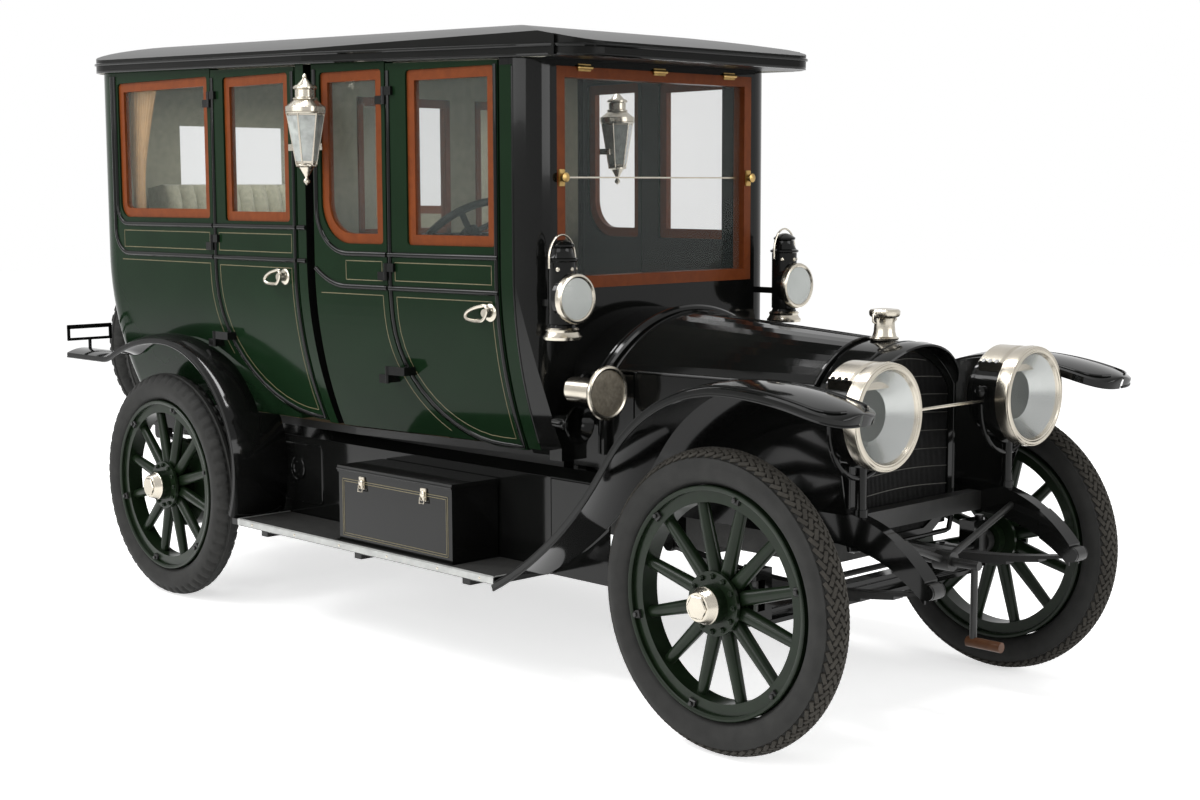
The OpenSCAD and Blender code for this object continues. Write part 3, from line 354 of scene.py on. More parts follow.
class Builder:
    """Collects several shapes into one piece."""

    def __init__(self):
        self.verts = []
        self.faces = []

    def add(self, verts, faces):
        base = len(self.verts)
        self.verts += verts
        self.faces += [[base + i for i in f] for f in faces]

    def rings(self, rings, closed=True, caps=True):
        """Skins rings of equal length; each ring is a loop of points."""
        n = len(rings[0])
        base = len(self.verts)
        for ring in rings:
            self.verts += ring
        for i in range(len(rings) - 1):
            for j in range(n if closed else n - 1):
                a, b = base + i * n + j, base + i * n + (j + 1) % n
                self.faces.append([a, b, b + n, a + n])
        if caps and closed:
            self.faces.append([base + j for j in range(n)][::-1])
            self.faces.append([base + (len(rings) - 1) * n + j for j in range(n)])

    def lathe(self, centre, axis, profile, n=32, caps=True):
        """Turned shape: profile is [(distance along the axis, radius)], in millimetres."""
        axis = Vector(axis).normalized()
        u = axis.orthogonal().normalized()
        v = axis.cross(u)
        rings = []
        for along, radius in profile:
            radius = max(radius * MM, 1e-5)
            middle = centre + axis * (along * MM)
            rings.append([middle + (u * cos(t) + v * sin(t)) * radius for t in steps(n)])
        self.rings(rings, caps=caps)

    def tube(self, points, radius, n=8, closed=False):
        """Round tube along points."""
        count = len(points)
        rings = []
        u = None
        for i, p in enumerate(points):
            if closed:
                t = points[(i + 1) % count] - points[i - 1]
            else:
                t = points[min(i + 1, count - 1)] - points[max(i - 1, 0)]
            t.normalize()
            u = t.orthogonal() if u is None else u - t * u.dot(t)
            u.normalize()
            v = t.cross(u)
            rings.append([p + (u * cos(a) + v * sin(a)) * radius for a in steps(n)])
        if closed:
            rings.append(rings[0])
        self.rings(rings, caps=not closed)

    def block(self, xs, ys, zs, bevel=0.0):
        """Box with bevelled edges from its spans; the ends of a span come in any order."""
        lo, hi = (at(*ends) for ends in zip(*(sorted(span) for span in (xs, ys, zs))))
        bm = bmesh.new()
        bmesh.ops.create_cube(bm, size=1)
        for v in bm.verts:
            v.co = Vector((lo[i] + (hi[i] - lo[i]) * (v.co[i] + 0.5) for i in range(3)))
        if bevel:
            bmesh.ops.bevel(bm, geom=bm.edges[:], offset=bevel, segments=2, affect="EDGES")
        bm.verts.index_update()
        self.add([v.co.copy() for v in bm.verts], [[v.index for v in f.verts] for f in bm.faces])
        bm.free()

    def done(self, name, mat, body="chassis", angle=SMOOTH_ANGLE):
        """Makes the piece, riding on a body."""
        mesh = bpy.data.meshes.new(name)
        mesh.from_pydata(self.verts, [], self.faces)
        mesh.validate()
        bm = bmesh.new()
        bm.from_mesh(mesh)
        bmesh.ops.remove_doubles(bm, verts=bm.verts, dist=1e-6)
        bmesh.ops.recalc_face_normals(bm, faces=bm.faces)
        bm.to_mesh(mesh)
        bm.free()
        obj = place_object(name, mesh)
        mesh.materials.append(mat)
        shade(obj, angle)
        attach(obj, body)
        return obj


def builders(count):
    return [Builder() for _ in range(count)]


def side_strip(builder, part, side, line, width, height):
    """Half-round moulding on the body's side along [(s, z), ...]."""
    rings = []
    for i, (s, z) in enumerate(line):
        a, b = line[max(i - 1, 0)], line[min(i + 1, len(line) - 1)]
        p = side_point(part, side, s, z)
        out = (side_point(part, side, s, z, 0.01) - p).normalized()
        ahead = (side_point(part, side, *b) - side_point(part, side, *a)).normalized()
        across = ahead.cross(out).normalized() * (width / 2)
        ring = [p + across * cos(t) + out * (height * sin(t)) for t in (pi * k / 6 for k in range(7))]
        rings.append(ring + [p + across * way - out * 0.002 for way in (-1, 1)])
    builder.rings(rings)


def spread(a, b, step=0.04):
    """Points from a to b, both (s, z), about a step apart."""
    n = max(1, int(ceil(hypot(b[0] - a[0], b[1] - a[1]) / step)))
    return [(a[0] + (b[0] - a[0]) * k / n, a[1] + (b[1] - a[1]) * k / n) for k in range(n + 1)]


def route(*corners):
    """Points along straight lines from corner to corner."""
    line = [corners[0]]
    for a, b in zip(corners, corners[1:]):
        line += spread(a, b)[1:]
    return line


def arc(centre, radius, a0, a1, n=10):
    turns = [radians(a0 + (a1 - a0) * k / n) for k in range(n + 1)]
    return [(centre[0] + radius * cos(t), centre[1] + radius * sin(t)) for t in turns]


SIDES = ((RIGHT, "r"), (LEFT, "l"))


def on_both_sides(*makers):
    for maker in makers:
        for side, tag in SIDES:
            maker(side, tag)


# Body mouldings and gold lines
DOORS = {"rear": (0.350, 0.912, 0.790, 0.520), "front": (0.412, 0.952, 0.768, 0.440)}
BELTS = {"rear": (1.398, 1.520), "front": (1.312, 1.430)}
DOOR_TOP = {"rear": 2.09, "front": 2.07}
MOULDING = (0.018, 0.009)
DOOR_BEAD = (0.017, 0.007)
GOLD_LINE = (0.0032, 0.0008)


def door_outline(part, g, top):
    """Door's edge inset by g, from a height at the rear round the bottom to that height at the front."""
    x0, x1, z0, r = DOORS[part]
    line = spread((x0 + g, top), (x0 + g, z0 + r)) + arc((x0 + r, z0 + r), r - g, 180, 270, 12)[1:]
    return line + route((x0 + r, z0 + g), (x1 - g, z0 + g), (x1 - g, top))[1:]


def box_line(x0, z0, x1, z1):
    return route((x0, z0), (x1, z0), (x1, z1), (x0, z1), (x0, z0))


def lower_panel_line(part, g):
    """Gold line inside a door's lower panel."""
    x0, x1 = DOORS[part][:2]
    low = BELTS[part][0] - 0.03
    return door_outline(part, g, low) + spread((x1 - g, low), (x0 + g, low))[1:]


def beside_door(part, start, top, end, out=0.032):
    """Line along a fixed panel's top, then down beside a door's swept edge to an angle of the sweep."""
    x0, _, z0, r = DOORS[part]
    line = route((start, top), (x0 - out, top), (x0 - out, z0 + r))
    return line + arc((x0 + r, z0 + r), r + out, 180, end, 12)[1:]


def body_trim(side, tag):
    belts, lines = builders(2)
    low, high = BELTS["rear"]
    for z, x, r in ((high, -0.384, 0.075), (low, -0.405, 0.100)):
        side_strip(belts, "rear", side, spread((0.922, z), (0.970, z)), *MOULDING)
        sweep = spread((x, 2.128), (x, z + r)) + arc((x + r, z + r), r, 180, 270, 10)[1:]
        side_strip(belts, "rear", side, sweep + spread((x + r, z), (0.343, z))[1:], *MOULDING)
    low, high = BELTS["front"]
    r = 0.165
    rise = [(0.026 + 0.16 * k / 8, low + 0.062 * (1 - k / 8) ** 2) for k in range(9)]
    sweep = spread((0.036, 2.09), (0.036, high + r)) + arc((0.036 + r, high + r), r, 180, 270, 14)[1:]
    for z, curl in ((low, rise), (high, sweep)):
        side_strip(belts, "front", side, curl + spread((0.205, z), (0.405, z))[1:], *MOULDING)
    side_strip(lines, "rear", side, box_line(-0.34, 1.425, 0.318, 1.493), *GOLD_LINE)
    side_strip(lines, "rear", side, beside_door("rear", -0.36, 1.372, 212), *GOLD_LINE)
    side_strip(lines, "front", side, box_line(0.19, 1.337, 0.38, 1.405), *GOLD_LINE)
    side_strip(lines, "front", side, beside_door("front", 0.05, 1.285, 238), *GOLD_LINE)
    belts.done("belt_mouldings_" + tag, BLACK)
    lines.done("gold_lines_" + tag, GOLD)
    for part in ("rear", "front"):
        name = part[0] + tag
        x0, x1 = DOORS[part][:2]
        low, high = BELTS[part]
        edge, gold = builders(2)
        side_strip(edge, part, side, door_outline(part, 0.011, DOOR_TOP[part]), *DOOR_BEAD)
        for z in (low, high):
            side_strip(edge, part, side, spread((x0 + 0.004, z), (x1 - 0.004, z)), *MOULDING)
        inner = box_line(x0 + 0.035, low + 0.027, x1 - 0.035, high - 0.027)
        side_strip(gold, part, side, inner, *GOLD_LINE)
        side_strip(gold, part, side, lower_panel_line(part, 0.038), *GOLD_LINE)
        edge.done("door_mouldings_" + name, BLACK, "door_" + name)
        gold.done("door_gold_lines_" + name, GOLD, "door_" + name)


def corner_strip(side, tag):
    """Green strip between the front door and the black corner pillar."""
    s0, s1, low, high = 0.9625, 1.018, 0.775, 2.065
    panel, line = builders(2)
    corners = ((s0, -0.001), (s0, 0.0008), (s1, 0.0008), (s1, -0.001))
    heights = [low + (high - low) * k / 32 for k in range(33)]
    panel.rings([[side_point("front", side, s, z, o) for s, o in corners] for z in heights])
    panel.done("corner_strip_" + tag, GREEN)
    side_strip(line, "front", side, spread((1.0185, 0.80), (1.0185, 2.06)), 0.008, 0.003)
    line.done("corner_bead_" + tag, BLACK)


def handle(part, side, s, z, body, name):
    """Nickel loop handle on its turned rose."""
    p = side_point(part, side, s, z)
    o = (side_point(part, side, s, z, 0.01) - p).normalized()
    along = (side_point(part, side, s + 0.01, z) - p).normalized()
    up = o.cross(along)
    b = Builder()
    b.lathe(p, o, [(-4, 30), (4, 30), (7, 26), (10, 16), (30, 12), (34, 14)], 24)
    loop = []
    for a in steps(28):
        reach = (0.078 if cos(a) < 0 else 0.022) * cos(a) - 0.006
        lift = 0.024 * sin(a) + 0.012 * cos(a)
        loop.append(p + o * 0.036 + along * reach + up * lift)
    b.tube(loop, 0.0065, closed=True)
    b.done(name, NICKEL, body)


def door_handles(side, tag):
    handle("rear", side, 0.83, 1.335, "door_r" + tag, "handle_r" + tag)
    handle("front", side, 0.905, 1.245, "door_f" + tag, "handle_f" + tag)


on_both_sides(body_trim, corner_strip, door_handles)


# Wheels and tyres
TYRE_SECTION = (6, 10, 18, 22, 30, 34, 42, 46, 54, 60, 66, 74, 86, 100, 114, 128, 140, 152)
TYRE_STEPS = 336
STUD_STEPS = 84
STUD_ROWS = ((-44, 0.5), (-26, -0.5), (-8, 0.5), (10, -0.5), (28, 0.5), (46, -0.5))
STUD_LEVELS = ((-0.011, 1.15), (-0.0022, 1.0), (-0.0014, 0.86))
STUD_SIZE = (0.0165, 0.0058)
CORNERS = ((1, 1), (-1, 1), (-1, -1), (1, -1))


def tyre(name, centre, axle, body, tread, node=None, studs=False):
    """Clincher tyre with its tread cut into the crown, or raised on it as studs."""
    axle = Vector(axle).normalized()
    u = axle.orthogonal().normalized()
    v = axle.cross(u)
    half = TYRE_W / 2
    mid = TYRE_R - half
    rings = []
    for k, a in enumerate(steps(TYRE_STEPS)):
        radial = u * cos(a) + v * sin(a)
        ring = []
        for deg in [-d for d in reversed(TYRE_SECTION)] + list(TYRE_SECTION):
            t = radians(deg)
            r = half * (1.0 if abs(deg) < 61 else 0.978) - tread(k, deg)
            if abs(deg) in (86, 128):
                r += 0.0015
            ring.append(centre + radial * (mid + r * cos(t)) + axle * (r * sin(t)))
        rings.append(ring)
    carcass, raised = builders(2)
    carcass.rings(rings + [rings[0]], closed=False, caps=False)
    obj = carcass.done(name, RUBBER, body, radians(40))
    if node:
        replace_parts(obj, node)
    if not studs:
        return
    for k in range(STUD_STEPS):
        for row, (deg, slant) in enumerate(STUD_ROWS):
            a = 2 * pi * (k + 0.5 * (row % 2)) / STUD_STEPS
            t = radians(deg)
            radial = u * cos(a) + v * sin(a)
            ahead = v * cos(a) - u * sin(a)
            outward = radial * cos(t) + axle * sin(t)
            across = axle * cos(t) - radial * sin(t)
            long = (ahead + across * slant).normalized() * STUD_SIZE[0]
            wide = (across - ahead * slant).normalized() * STUD_SIZE[1]
            c = centre + radial * mid + outward * half
            raised.rings([[c + outward * depth + (long * i + wide * j) * size for i, j in CORNERS]
                          for depth, size in STUD_LEVELS])
    raised.done(name + "_studs", TREAD, body, radians(30))


def plain_tread(k, deg):
    """Sunk crown that carries raised studs."""
    return 0.0075 if abs(deg) < 57 else 0.0


def rib_tread(k, deg):
    """Grooved crown with cross cuts on its shoulders."""
    if abs(deg) < 20:
        return 0.005 if 9 < abs(deg) < 11 or 17 < abs(deg) else 0.0
    if abs(deg) < 61:
        return 0.006 if k % 6 in (0, 1) else 0.0
    return 0.0


def wheel_trim(tag, centre, side, body):
    """Nickel hub cap, flange bolts, rim clamps and rim beads."""
    out = Vector((0, side, 0))
    cap, bolts, clamps, beads = builders(4)
    cap.lathe(centre + out * 0.075, out, [(0, 52.5), (4, 56), (8, 52.5), (30, 45.5), (34, 42)], 40)
    spoke = lambda t: Vector((cos(t), 0, sin(t)))
    cap.rings([[centre + out * along + spoke(t) * r for t in steps(6)]
               for along, r in ((0.102, 0.0385), (0.1115, 0.0385), (0.1145, 0.0345))])
    for t in steps(12):
        bolts.lathe(centre + spoke(t) * 0.082 + out * 0.041, out, [(0, 8.5), (7, 8.5), (9, 6), (12, 5)], 6)
    for t in steps(6, radians(15), radians(375)):
        d, w = spoke(t), spoke(t + pi / 2)
        rings = []
        for along, h, wide in ((0.030, 0.014, 0.014), (0.040, 0.013, 0.012), (0.043, 0.010, 0.009)):
            q = centre + d * 0.332 + out * along
            corners = ((h, wide), (h, -wide), (-1.4 * h, -wide), (-1.4 * h, wide))
            rings.append([q + d * i + w * j for i, j in corners])
        clamps.rings(rings)
        clamps.lathe(centre + d * 0.326 + out * 0.043, out, [(0, 8), (6, 8), (8, 6)], 6)
    for way in (-1, 1):
        beads.lathe(centre + out * way * 0.0405, out * way,
            [(0, 333), (0, 345.5), (3, 347.5), (6, 345), (6, 339), (3, 333)], 72, caps=False)
    cap.done("hub_cap_" + tag, NICKEL, body)
    bolts.done("hub_bolts_" + tag, WHEEL_GREEN, body)
    clamps.done("rim_clamps_" + tag, IRON, body)
    beads.done("rim_flange_" + tag, WHEEL_GREEN, body)


def wheels_and_tyres():
    for axle, x, tread in (("f", WHEELBASE, plain_tread), ("r", 0.0, rib_tread)):
        for side, tag in SIDES:
            name = axle + tag
            centre = at(x, side * HUB_Y, TYRE_R)
            body = "wheel_" + name
            tyre("road_tyre_" + name, centre, (0, 1, 0), body, tread, "tyre_" + name, axle == "f")
            wheel_trim(name, centre, side, body)
    for i, (x, node) in enumerate(((-0.790, "spare_tyres"), (-0.922, None))):
        tyre("spare_tyre_%d" % i, at(x, 0, 0.960), FORWARD, "chassis", rib_tread, node)


wheels_and_tyres()


# Lamps and horn
VENT_SECTION = ((-0.150, 0.130), (-0.146, 0.150), (-0.135, 0.158),
                (-0.062, 0.158), (-0.050, 0.150), (-0.047, 0.130))


def headlamp(side, tag):
    front = at(3.395, side * 0.380, 1.001)
    bezel, cone, eye, lens, vent, holes, trim, fork = builders(8)
    bezel.lathe(front, FORWARD, [(-44, 158.2), (-20, 161), (-4, 159), (3, 153), (3, 146), (-2, 140),
        (-44, 138.5)], 64, caps=False)
    cone.lathe(front, FORWARD, [(-3, 140.5), (-30, 114), (-62, 88), (-74, 76.5)], 56, caps=False)
    eye.lathe(front, FORWARD, [(-73, 78), (-74.5, 50), (-75, 1)], 40, caps=False)
    lens.lathe(front, FORWARD, [(-6, 139.5), (-2, 100), (1, 50), (2, 1)], 48, caps=False)
    # ventilator over the drum
    spoke = lambda deg: Vector((0, cos(radians(deg)), sin(radians(deg))))
    rings = []
    for x, r in VENT_SECTION:
        radii = [0.127] + [r] * 13 + [0.127]
        rings.append([front + FORWARD * x + spoke(38 + 104 * k / 14) * radii[k] for k in range(15)])
    vent.rings(rings)
    for deg in (46, 134):
        for x in (-0.122, -0.098, -0.074):
            holes.lathe(front + FORWARD * x + spoke(deg) * 0.1555, spoke(deg), [(0, 7.5), (4.2, 7.5)], 14)
    trim.lathe(front, FORWARD, [(-190, 88), (-194, 94), (-190, 100), (-186, 94)], 40, caps=False)
    trim.lathe(front, FORWARD, [(-160, 127.5), (-158, 131), (-154, 131), (-152, 128)], 48, caps=False)
    for way in (-1, 1):
        trim.lathe(at(3.295, side * 0.380 + way * 0.141, 1.021), (0, way, 0),
            [(0, 18), (20, 18), (26, 12), (30, 4)], 18)
    c = front - FORWARD * 0.1
    bow = [pi * (1 + k / 20) for k in range(21)]
    fork.tube([c + Vector((0, 0.152 * cos(t), 0.168 * sin(t) - 0.02)) for t in bow], 0.0085, 10)
    for piece, what, mat in (
            (bezel, "bezel", NICKEL), (cone, "reflector", MIRROR), (eye, "mirror", DARK_MIRROR),
            (lens, "lens", LENS), (vent, "vent", NICKEL), (holes, "vent_holes", BLACK),
            (trim, "trim", BLACK), (fork, "fork", BLACK)):
        piece.done("headlamp_%s_%s" % (what, tag), mat)


def headlamp_rod():
    rod = Builder()
    rod.tube([at(3.295, y, 0.99) for y in (-0.236, 0, 0.236)], 0.0055, 10)
    rod.done("headlamp_tie_rod", NICKEL)


def side_lamp(side, tag):
    c = at(2.264, side * 0.558, 1.305)
    nickel, glass, black, back = builders(4)
    nickel.lathe(c, FORWARD, [(-10, 81), (4, 83), (11, 80), (13, 73), (9, 68), (-8, 67)], 48, caps=False)
    glass.lathe(c, FORWARD, [(8.5, 68.5), (13, 50), (16, 25), (17, 1)], 36, caps=False)
    base = c + Vector((-0.062, 0, 0))
    nickel.lathe(base - UP * 0.132, UP, [(-4, 30), (-3, 62), (6, 64), (12, 58), (22, 53), (30, 56), (36, 50)],
        36)
    black.lathe(base + UP * 0.118, UP,
        [(0, 47), (4, 52), (10, 52), (14, 44), (30, 36), (44, 34), (50, 40), (56, 40), (66, 26), (72, 8)], 32)
    for a in (-pi / 3, 0, pi / 3):
        d = Vector((cos(a), sin(a), 0))
        nickel.lathe(base + d * 0.0455 + UP * 0.095, d, [(0, 7), (3, 7), (5, 4)], 12)
    bow = [pi * k / 20 for k in range(21)]
    loop = [base + Vector((0, 0.058 * cos(t), 0.078 * sin(t) + 0.128)) for t in bow]
    nickel.tube([loop[0] - UP * 0.03] + loop + [loop[-1] - UP * 0.03], 0.0034)
    nickel.done("side_lamp_nickel_" + tag, NICKEL)
    glass.done("side_lamp_lens_" + tag, LENS)
    black.done("side_lamp_chimney_" + tag, BLACK)
    back.lathe(c, FORWARD, [(8.4, 67.5), (8.3, 40), (8.2, 1)], 36, caps=False)
    back.done("side_lamp_reflector_" + tag, BRIGHT_MIRROR)


CARRIAGE_LAMP_RINGS = (
    ([(1927, 66.5), (1929, 70.5), (1933, 71.5), (1935.2, 69.5)], 40),
    ([(1950.8, 71.5), (1953.5, 71.2), (1957, 66.5)], 40),
    ([(1975, 36), (1979, 44), (1983, 44), (1987, 36)], 32),
    ([(2012, 36), (2016, 42.5), (2022, 42.5), (2028, 36)], 32),
    ([(2050, 4), (2056, 9), (2064, 7), (2070, 2)], 20),
    ([(1738, 30), (1742, 38), (1747, 38), (1752, 32)], 32),
    ([(1676, 2), (1684, 11), (1692, 12), (1700, 6), (1706, 5)], 20),
)


def carriage_lamp(side, tag):
    p = at(1.100, side * 0.782, 0)
    nickel, glass = builders(2)
    corner = lambda r, z, t: p + Vector((r * cos(t), r * sin(t), z))
    for t in steps(6):
        nickel.tube([corner(0.0345, 1.745, t), corner(0.0665, 1.935, t)], 0.0036)
        pane = [corner(r, z, t + turn) for r, z, turn in
                ((0.0348, 1.750, 0), (0.0348, 1.750, pi / 3), (0.0668, 1.931, pi / 3), (0.0668, 1.931, 0))]
        mid = sum(pane, Vector()) / 4
        pull = [q + (mid - q) * 0.11 for q in pane]
        outward = Vector((mid.x - p.x, mid.y - p.y, 0)).normalized() * 0.0022
        glass.add([q + outward for q in pull] + [mid + outward * 2.2],
            [[0, 1, 4], [1, 2, 4], [2, 3, 4], [3, 0, 4]])
    for profile, n in CARRIAGE_LAMP_RINGS:
        nickel.lathe(p, UP, profile, n, caps=n == 20)
    nickel.done("carriage_lamp_frame_" + tag, NICKEL)
    glass.done("carriage_lamp_glass_" + tag, LAMP_PANE)


def horn():
    c = at(2.350, -0.500, 1.000)
    rim, mouth, trumpet = builders(3)
    rim.lathe(c, FORWARD, [(-6, 87), (2, 90.5), (8, 88), (10, 81), (7, 75), (1, 73)], 48, caps=False)
    mouth.lathe(c, FORWARD, [(2, 75.5), (4.5, 60), (3, 30), (2.2, 1)], 40, caps=False)
    rim.done("horn_rim", NICKEL)
    mouth.done("horn_mouth", HORN_MOUTH)
    t = at(2.205, -0.492, 0.885)
    trumpet.lathe(t, FORWARD, [(-110, 20), (-50, 30), (-10, 50), (4, 64), (10, 66), (12, 60), (4, 52),
        (-20, 36)], 36)
    trumpet.tube([at(2.10, -0.492, 0.885), at(2.07, -0.47, 0.90), at(2.075, -0.44, 0.915)], 0.019, 12)
    trumpet.done("air_horn", BLACK)


on_both_sides(headlamp)
headlamp_rod()
on_both_sides(side_lamp, carriage_lamp)
horn()


# Radiator, bonnet and scuttle
CORE_X, SHELL_X, SHELL_Z, SHELL_R = 3.150, 3.160, 0.855, 0.330
PEAK_SECTION = ((0.0, 0.0), (0.05, 0.002), (0.085, -0.004), (0.087, -0.010), (0.05, -0.006), (0.0, -0.01))


def radiator():
    fins, wires, rim, peak, cap = builders(5)
    for k in range(73):
        y = -0.2376 + 0.0066 * k
        top = SHELL_Z + sqrt(max(0.0, 0.2955 ** 2 - y * y))
        fins.block((CORE_X - 0.004, CORE_X + 0.007), (y - 0.0012, y + 0.0012), (0.586, min(top, 1.149)))
    for k in range(9):
        z = 0.66 + 0.058 * k
        half = min(0.240, sqrt(max(0.001, 0.294 ** 2 - (z - SHELL_Z) ** 2))) if z > SHELL_Z else 0.240
        line = [at(CORE_X + 0.0085, -half + 2 * half * i / 40,
            z + 0.012 * sin(pi * i / 40) - 0.006) for i in range(41)]
        wires.tube(line, 0.0016, 6)
    fins.done("radiator_fins", CORE)
    wires.done("radiator_wires", DULL_METAL)
    # rounded lip round the front of the shell
    a0, a1 = (degrees(atan2(1.0374 - SHELL_Z, y)) for y in (-0.275, 0.275))
    edge = [(-0.275, 0.60 + 0.05 * k) for k in range(9)] + arc((0, SHELL_Z), SHELL_R, a0, a1, 24)
    edge += [(0.275, 1.0 - 0.05 * k) for k in range(9)]
    edge += [(0.262, 0.556), (0.24, 0.552), (0.0, 0.552), (-0.24, 0.552), (-0.262, 0.556)]
    rim.tube([at(SHELL_X, y * 0.983, SHELL_Z + (z - SHELL_Z) * 0.983) for y, z in edge], 0.0085, 10,
        closed=True)
    rim.done("radiator_lip", BLACK)
    turns = [(radians(148 - 116 * k / 24), sin(pi * k / 24) ** 0.55) for k in range(25)]
    rings = []
    for reach, grow in PEAK_SECTION:
        r = SHELL_R + grow
        rings.append([at(SHELL_X + reach * share, r * cos(a), SHELL_Z + r * sin(a)) for a, share in turns])
    peak.rings(rings + [rings[0]], closed=False, caps=False)
    peak.done("radiator_peak", BLACK)
    p = at(3.085, 0, 1.18)
    cap.lathe(p, UP, [(6, 44), (12, 46), (18, 38), (32, 34), (60, 32), (75, 36), (80, 46), (86, 49), (97, 49),
        (102, 44), (105, 20), (106, 1)], 40)
    for side in (LEFT, RIGHT):
        grip = ((0.048, 0.094), (0.060, 0.086), (0.060, 0.066), (0.048, 0.060))
        cap.tube([p + Vector((0, side * y, z)) for y, z in grip], 0.003)
    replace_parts(cap.done("filler_cap", NICKEL), "radiator_cap")


HOOD = ((2.272, 0.398, 1.238, 1.056), (3.033, 0.278, 1.190, 1.052))


def hood_point(f, t, out=0.0):
    """Point on the bonnet's top: f from its rear to its front, t from -1 on the right to 1 on the left."""
    x, w, top, shoulder = (HOOD[0][i] + (HOOD[1][i] - HOOD[0][i]) * f for i in range(4))
    r = (w * w + (top - shoulder) ** 2) / (2 * (top - shoulder))
    a = asin(w / r) * t
    return at(x, (r + out) * sin(a), top - r + (r + out) * cos(a))


def hood_trim(side, tag):
    seams, knobs = builders(2)
    seams.tube([hood_point(k / 16, side * 0.985, 0.002) for k in range(17)], 0.0055)
    for f in (0.008, 0.992):
        seams.tube([hood_point(f, side * (0.05 + 0.93 * k / 16), 0.001) for k in range(17)], 0.005)
    seams.done("bonnet_hinge_beads_" + tag, BLACK, "hood_" + tag)
    for f in (0.25, 0.75):
        q = hood_point(f, side)
        q.z = 0.80
        knobs.lathe(q, (0, side, 0), [(-2, 16), (4, 16), (10, 10), (22, 9), (28, 12), (34, 4)], 20)
    knobs.done("bonnet_latches_" + tag, NICKEL, "hood_" + tag)


def scuttle_trim():
    bands, vent = builders(2)
    r = (0.412 ** 2 + 0.185 ** 2) / (2 * 0.185)
    full = asin(0.412 / r)
    for x, t in ((2.252, 0.0155), (2.226, 0.006)):
        turns = [full * k / 20 for k in range(-20, 21)]
        line = [(-0.4125, 0.78), (-0.4125, 0.92)]
        line += [((r + 0.001) * sin(a), 1.245 - r + (r + 0.001) * cos(a)) for a in turns]
        line += [(0.4125, 0.92), (0.4125, 0.78)]
        bands.tube([at(x, y, z) for y, z in line], t, 10)
    bands.done("scuttle_bands", BLACK)
    for side in (RIGHT, LEFT):
        p = at(2.18, side * 0.412, 1.0)
        vent.lathe(p, (0, side, 0), [(-2, 56), (6, 56), (11, 50), (8, 44), (4, 43)], 36)
        vent.block((2.176, 2.184), (side * 0.412, side * 0.424), (0.956, 1.044), 0.0015)
    vent.done("scuttle_ventilators", BLACK)


radiator()
on_both_sides(hood_trim)
scuttle_trim()


# Roof, boards, tool box and aprons
ROOF_Z, ROOF_FALL, ROOF_OVER, PEAK_X = 2.136, radians(1.35), 0.026, 2.330


def roof_edge(g, rise):
    """Line round the roof's edge at a height above its underside."""
    w0 = BODY_W + ROOF_OVER - g
    w1 = BODY_W - tan(TAPER_A) * (PEAK_X - TAPER_X) + ROOF_OVER - g
    x0, x1 = -BODY_BACK - 0.024 + g, PEAK_X - g
    rb, rf = CORNER_R + 0.01, 0.13
    line = [(x0, 0.0), (x0, 0.25)] + arc((x0 + rb, w0 - rb), rb, 180, 90)
    line += [(x0 + rb + (TAPER_X - x0 - rb) * k / 6, w0) for k in range(1, 7)]
    slope = (w1 - w0) / (x1 - TAPER_X)
    line += [(TAPER_X + (x1 - rf - TAPER_X) * k / 6,
        w0 + slope * (x1 - rf - TAPER_X) * k / 6) for k in range(1, 7)]
    line += arc((x1 - rf, w1 - rf), rf, 90, 0)[1:]
    line += [(x1, 0.2), (x1, 0.0)]
    full = line + [(x, -y) for x, y in reversed(line[1:-1])]
    return [at(x, y, ROOF_Z + rise - tan(ROOF_FALL) * x) for x, y in full]


def roof_trim():
    bead = Builder()
    bead.tube(roof_edge(-0.001, 0.034), 0.0062, closed=True)
    bead.tube(roof_edge(0.004, 0.004), 0.006, closed=True)
    bead.done("roof_beads", BLACK)


BOARD_X = (0.5965, 2.1115)
BOARD_Y = (0.545, 0.786)
RIB_X = (0.612, 2.098)
RIVETS_X = (0.70, 0.98, 1.26, 1.54, 1.82, 2.04)


def running_board(side, tag):
    edge, ribs, panel, plate, rivets = builders(5)
    inner, outer = (side * y for y in BOARD_Y)
    edge.block(BOARD_X, (outer - side * 0.010, outer + side * 0.002), (0.371, 0.399), 0.003)
    for x in (BOARD_X[0], BOARD_X[1] - 0.008):
        edge.block((x, x + 0.008), (inner, outer), (0.3955, 0.399), 0.001)
    for k in range(24):
        y = 0.556 + 0.0093 * k
        covered = side == RIGHT and y < 0.765
        for span in ((RIB_X[0], 1.205), (1.872, RIB_X[1])) if covered else (RIB_X,):
            ribs.block(span, (side * y - 0.0032, side * y + 0.0032), (0.3955, 0.3985), 0.0009)
    edge.done("board_edging_" + tag, ALUMINIUM)
    ribs.done("board_ribs_" + tag, RUBBER)
    # pressed panel and disc on the apron
    corners = ((0.568, 0.468, 180), (0.798, 0.468, 270), (0.798, 0.655, 0), (0.568, 0.655, 90))
    line = [q for x, z, a in corners for q in arc((x, z), 0.02, a, a + 90, 6)]
    panel.tube([at(x, side * 0.5402, z) for x, z in line], 0.005, closed=True)
    panel.lathe(at(0.66, side * 0.5395, 0.576), (0, side, 0),
        [(0, 45), (6, 45), (9, 40), (9, 26), (6, 22), (6, 1)], 40)
    panel.done("apron_panel_" + tag, BLACK)
    # the apron's front end runs on under the front wing
    plate.block((2.1202, 2.40), (side * 0.5385, side * 0.5315), (0.372, 0.7), 0.002)
    plate.tube([at(x, side * 0.5355, 0.7005) for x in (2.12, 2.40)], 0.005)
    for x in RIVETS_X:
        rivets.lathe(at(x, side * 0.788, 0.385), (0, side, 0), [(0, 5), (1.4, 4.2), (2.2, 1)], 12)
    plate.done("apron_end_" + tag, BLACK)
    rivets.done("board_rivets_" + tag, NICKEL)


